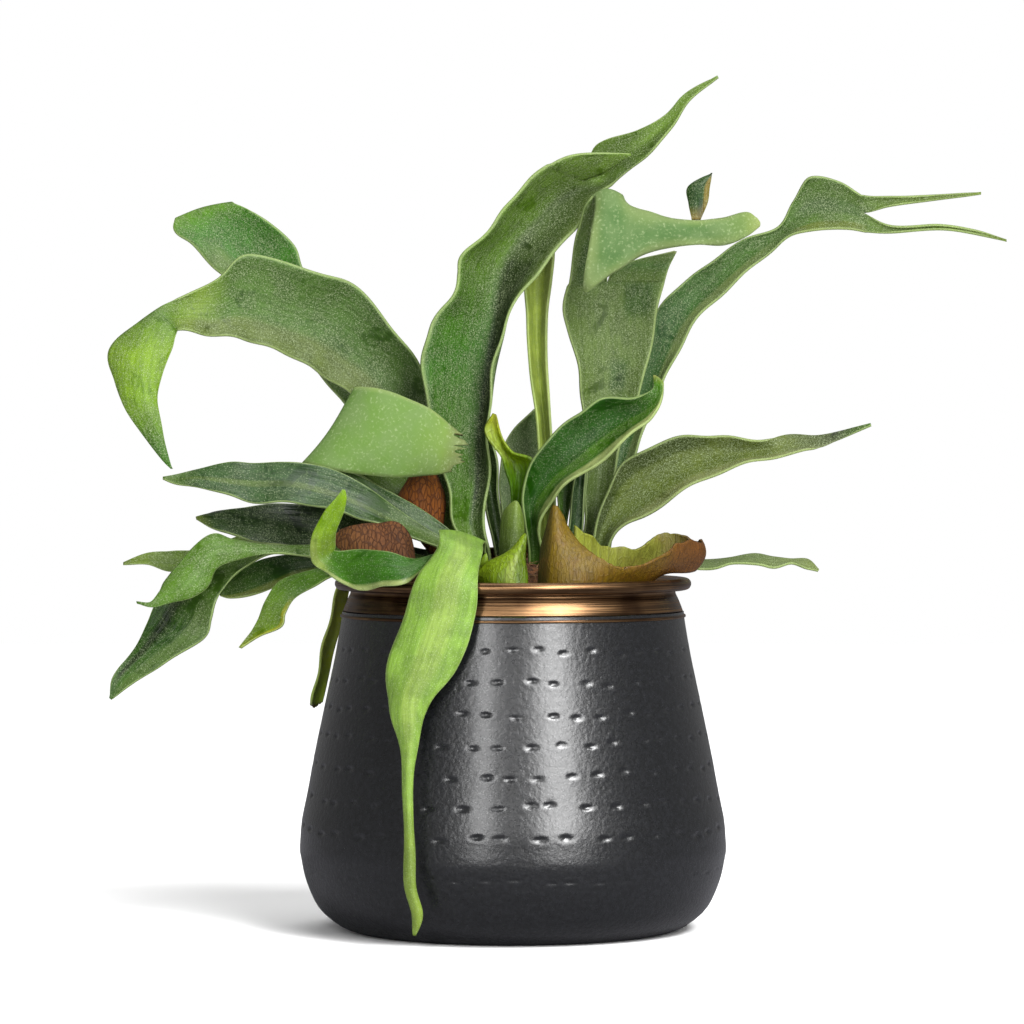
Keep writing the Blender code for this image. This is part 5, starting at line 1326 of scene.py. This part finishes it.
# %% Tints of the shields
SHIELD_LOOKS = {
    "shield_ochre": ("shield_ochre",
        # The darker first tone and the first patch are a painted shadow at the shield's left end.
        [(0, "#6a6440"), (0.08, "#9a7a10"), (0.2, "#9a7a14"), (0.4, "#9c7418"), (0.55, "#8a5a24"),
         (0.68, "#7c5a44"), (0.78, "#b0b060"), (1, "#c9cf60")],
        [(0.0, 0.08, -1.1, 1.1, "#4c4630", 0.6), (0.45, 0.62, -1.1, 1.1, "#8a4a20", 0.5)]),
    "shield_green": ("shield_green",
        [(0, "#86a828"), (0.5, "#9dbc20"), (1, "#a8c428")],
        # The first patch is painted shade on the right side, which turns away from the light.
        [(0.2, 1.0, 0.55, 1.1, "#6c8c1c", 0.7), (0.1, 0.6, 0.1, 0.5, "#c4d878", 0.6)]),
    "shield_fold": ("shield_green",
        [(0, "#4e9010"), (0.5, "#6a9c10"), (0.75, "#a8c800"), (1, "#c8cc20")],
        [(0.6, 0.9, -1.1, -0.3, "#c8dc80", 0.7)]),
    "shield_old_net": ("shield_dry",
        [(0, "#7a4818"), (0.5, "#a85a10"), (1, "#a8641c")],
        []),
    "shield_dry_left": ("shield_dry",
        [(0, "#6a4028"), (0.5, "#8a5030"), (1, "#9a6444")],
        []),
    "shield_back": ("shield_dry",
        [(0, "#6a4a2c"), (0.5, "#7c5a34"), (1, "#6a4a2c")],
        []),
}
print("tinted shields:", len(SHIELD_LOOKS))

# %% [markdown]
# ## Laying out the shields
# Dead shields crumble from the edge, so theirs are ragged and chewed.

# %% Shields
SHIELD_RIPPLE = 1.3
SHIELD_RAGGED = {"shield_dry_left": 2.2, "shield_old_net": 1.5}
SHIELD_CHEWED = {"shield_ochre": 2.6, "shield_dry_left": 1.5, "shield_back": 2.0}

for number, (name, table) in enumerate(SHIELDS.items()):
    top = SHIELD_TOPS[SHIELD_LOOKS[name][0]]
    leaf_piece(name, table, SHIELD_LOOKS[name], [top, top], number + 41, SHIELD_RIPPLE,
               SHIELD_RAGGED.get(name, 0.0), SHIELD_CHEWED.get(name, 0.0))
print("shields:", len(SHIELDS))

# %% [markdown]
# ## Growing pot, mix and stem
# Under the leaves sit a plain plastic growing pot, a mix of bark and moss, and
# the creeping stem with its brown scales and root hairs. They are seen only
# between the fronds and from above, but loose strands there break up the
# smooth solids, which real moss and roots always do.

# %% Growing pot, mix and stem
def moulded_black_plastic():
    """Thin matte plastic with a fine moulded grain."""
    mat, tree, shader = finish_named("polypropylene, moulded matte black")
    place = add(tree, "ShaderNodeTexCoord").outputs["Object"]
    grain = add(tree, "ShaderNodeTexNoise", {"Vector": place, "Scale": 1200.0, "Detail": 2.0}).outputs[0]
    into(tree, mix(tree, grain, srgb("#17181a"), srgb("#26282a")), shader.inputs["Base Color"])
    into(tree, steps(tree, grain, 0.3, 0.7, 0.5, 0.65), shader.inputs["Roughness"])
    into(tree, bump(tree, grain, 0.05), shader.inputs["Normal"])
    return mat


def fibrous(name, dark, light, scale):
    """Bark, moss or root: a rough mix of two browns."""
    mat, tree, shader = finish_named(name)
    place = add(tree, "ShaderNodeTexCoord").outputs["Object"]
    lumps = add(tree, "ShaderNodeTexNoise", {"Vector": place, "Scale": scale, "Detail": 8.0,
                                             "Roughness": 0.75, "Distortion": 0.8}).outputs[0]
    shade = mix(tree, steps(tree, lumps, 0.35, 0.68), srgb(dark), srgb(light))
    into(tree, shade, shader.inputs["Base Color"])
    shader.inputs["Roughness"].default_value = 0.9
    into(tree, bump(tree, lumps, 1.2), shader.inputs["Normal"])
    return mat


bark = fibrous("bark and moss, damp", "#22160c", "#6a4c2c", 300.0)
scales = fibrous("fern stem, scaly brown", "#2c1a0c", "#7c4c24", 500.0)
strand = fibrous("root hair, dry", "#3c2614", "#9c7448", 800.0)
plastic = moulded_black_plastic()
for name, mat in (("nursery_pot", plastic), ("moss_mix", bark), ("rhizome", scales)):
    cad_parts[name].data.materials[0] = mat


print("finished:", ", ".join(("nursery_pot", "moss_mix", "rhizome")))

# %% [markdown]
# ## Loose strands
# Each strand is a bent three-sided tube that tapers to its end. Hundreds of them
# in one mesh cost little and hide the smooth solid underneath.

# %% Loose strands
RINGS = 6


def strands(name, count, seed, centre, radii, reach, mat, slot_name):
    """Short curved strands that lie over an ellipsoid."""
    rng = random.Random(seed)
    points, faces = [], []
    for _ in range(count):
        a, b = rng.uniform(0, 2 * math.pi), rng.uniform(0.1, 0.95)
        out = Vector((math.cos(a) * math.sqrt(1 - b * b), math.sin(a) * math.sqrt(1 - b * b), b))
        root = Vector(centre) + Vector([out[i] * radii[i] for i in range(3)])
        way = out.cross(Vector((rng.uniform(-1, 1), rng.uniform(-1, 1), rng.uniform(-1, 1)))).normalized()
        bend = Vector((rng.uniform(-1, 1), rng.uniform(-1, 1), rng.uniform(-0.6, 0.6)))
        length, thick = rng.uniform(0.5, 1.0) * reach, rng.uniform(0.12, 0.3)
        first = len(points)
        for k in range(RINGS):
            t = k / (RINGS - 1)
            mid = root + way * length * (t - 0.5) + bend * 2.0 * t * t + out * (0.3 + 1.5 * t * (1 - t))
            side, up = way.cross(out).normalized(), out
            size = thick * (1 - 0.7 * t)
            for c in range(3):
                turn = 2 * math.pi * c / 3
                points.append(mid + side * size * math.cos(turn) + up * size * math.sin(turn))
            if k:
                low = first + 3 * (k - 1)
                for c in range(3):
                    d = (c + 1) % 3
                    faces.append((low + c, low + d, low + 3 + d, low + 3 + c))
        faces.append((first + 2, first + 1, first))
        last = first + 3 * (RINGS - 1)
        faces.append((last, last + 1, last + 2))
    piece = new_piece(name, [list(p) for p in points], faces, [mat])
    joins(piece, slot_name)
    return piece


strands("root_hairs", 420, 5, (6, 0, 133.0), (37, 27, 15), 12.0, strand, "rhizome")
strands("moss_strands", 420, 9, (0, 0, 114.0), (50, 50, 11), 12.0, strand, "mix")
print("loose strands added")

# %% [markdown]
# ## Floor and light
# A pale floor and one soft sun keep the object's own shadow. Tall soft boxes
# stand at the sides, because a dark satin pot shows its shape only through
# what it mirrors.

# %% Floor and light
def pale_floor():
    """A wide matte floor that keeps the shadow."""
    mat, tree, shader = finish_named("paper backdrop, matte white")
    # Mirrored in the satin paint the floor is a darker one, as in a studio with a small table.
    mirrored = add(tree, "ShaderNodeLightPath").outputs["Is Glossy Ray"]
    into(tree, mix(tree, mirrored, srgb("#fafafa"), srgb("#707074")), shader.inputs["Base Color"])
    shader.inputs["Roughness"].default_value = 0.95
    shader.inputs["Specular IOR Level"].default_value = 0.0
    size = 2500.0
    floor = new_piece("floor", [(-size, -size, 0), (size, -size, 0), (size, size, 0), (-size, size, 0)],
                      [(0, 1, 2, 3)], [mat], smooth=False)


def lamp(name, kind, at, aim, power, **settings):
    """A lamp at a point in metres, aimed at another."""
    data = bpy.data.lights.new(name, kind)
    data.energy = power
    for key, value in settings.items():
        setattr(data, key, value)
    made = bpy.data.objects.new(name, data)
    bpy.context.scene.collection.objects.link(made)
    made.location = at
    made.rotation_euler = (Vector(aim) - Vector(at)).to_track_quat("-Z", "Y").to_euler()


def white_room():
    """Camera rays see plain white, everything else a dimmer grey room."""
    world = bpy.data.worlds.new("white room")
    bpy.context.scene.world = world
    world.use_nodes = True
    tree = world.node_tree
    seen = add(tree, "ShaderNodeLightPath").outputs["Is Camera Ray"]
    back = tree.nodes["Background"]
    back.inputs["Color"].default_value = (1, 1, 1, 1)
    mirrored = add(tree, "ShaderNodeLightPath").outputs["Is Glossy Ray"]
    dim = steps(tree, mirrored, 0.0, 1.0, 0.34, 0.20)
    level = add(tree, "ShaderNodeMath", {0: dim, 1: seen}, operation="MAXIMUM").outputs[0]
    into(tree, level, back.inputs["Strength"])


pale_floor()
white_room()
lamp("key sun", "SUN", (0.9, -1.0, 1.5), (0, 0, 0.1), 2.9, angle=math.radians(18))
# The right soft box is the wide one, which draws the broad upright glow on the pot.
lamp("right soft box", "AREA", (0.7, -1.45, 0.8), (0, 0, 0.12), 30.0,
     shape="RECTANGLE", size=0.6, size_y=1.3)
lamp("left soft box", "AREA", (-0.5, -1.6, 0.65), (0, 0, 0.12), 11.0,
     shape="RECTANGLE", size=0.25, size_y=1.1)
lamp("top soft box", "AREA", (0.0, 0.3, 1.4), (0, 0, 0.1), 8.0,
     shape="RECTANGLE", size=0.9, size_y=0.9)

print("floor and lamps set")

# %% [markdown]
# ## Camera
# A long lens from nearly two metres keeps the fronds in natural proportion, and
# the camera stands at the height of the leaves, looking down by a degree.

# %% Camera
camera_data = bpy.data.cameras.new("camera")
camera_data.lens = 164.4
camera_data.sensor_width = 36.0
camera = bpy.data.objects.new("camera", camera_data)
bpy.context.scene.collection.objects.link(camera)
camera.location = (-0.0004, -1.870, 0.199)
camera.rotation_euler = (math.radians(90 - 0.986), 0, 0)
bpy.context.scene.camera = camera
bpy.context.scene.view_settings.view_transform = "Standard"
print("lens in mm:", round(camera_data.lens, 1))
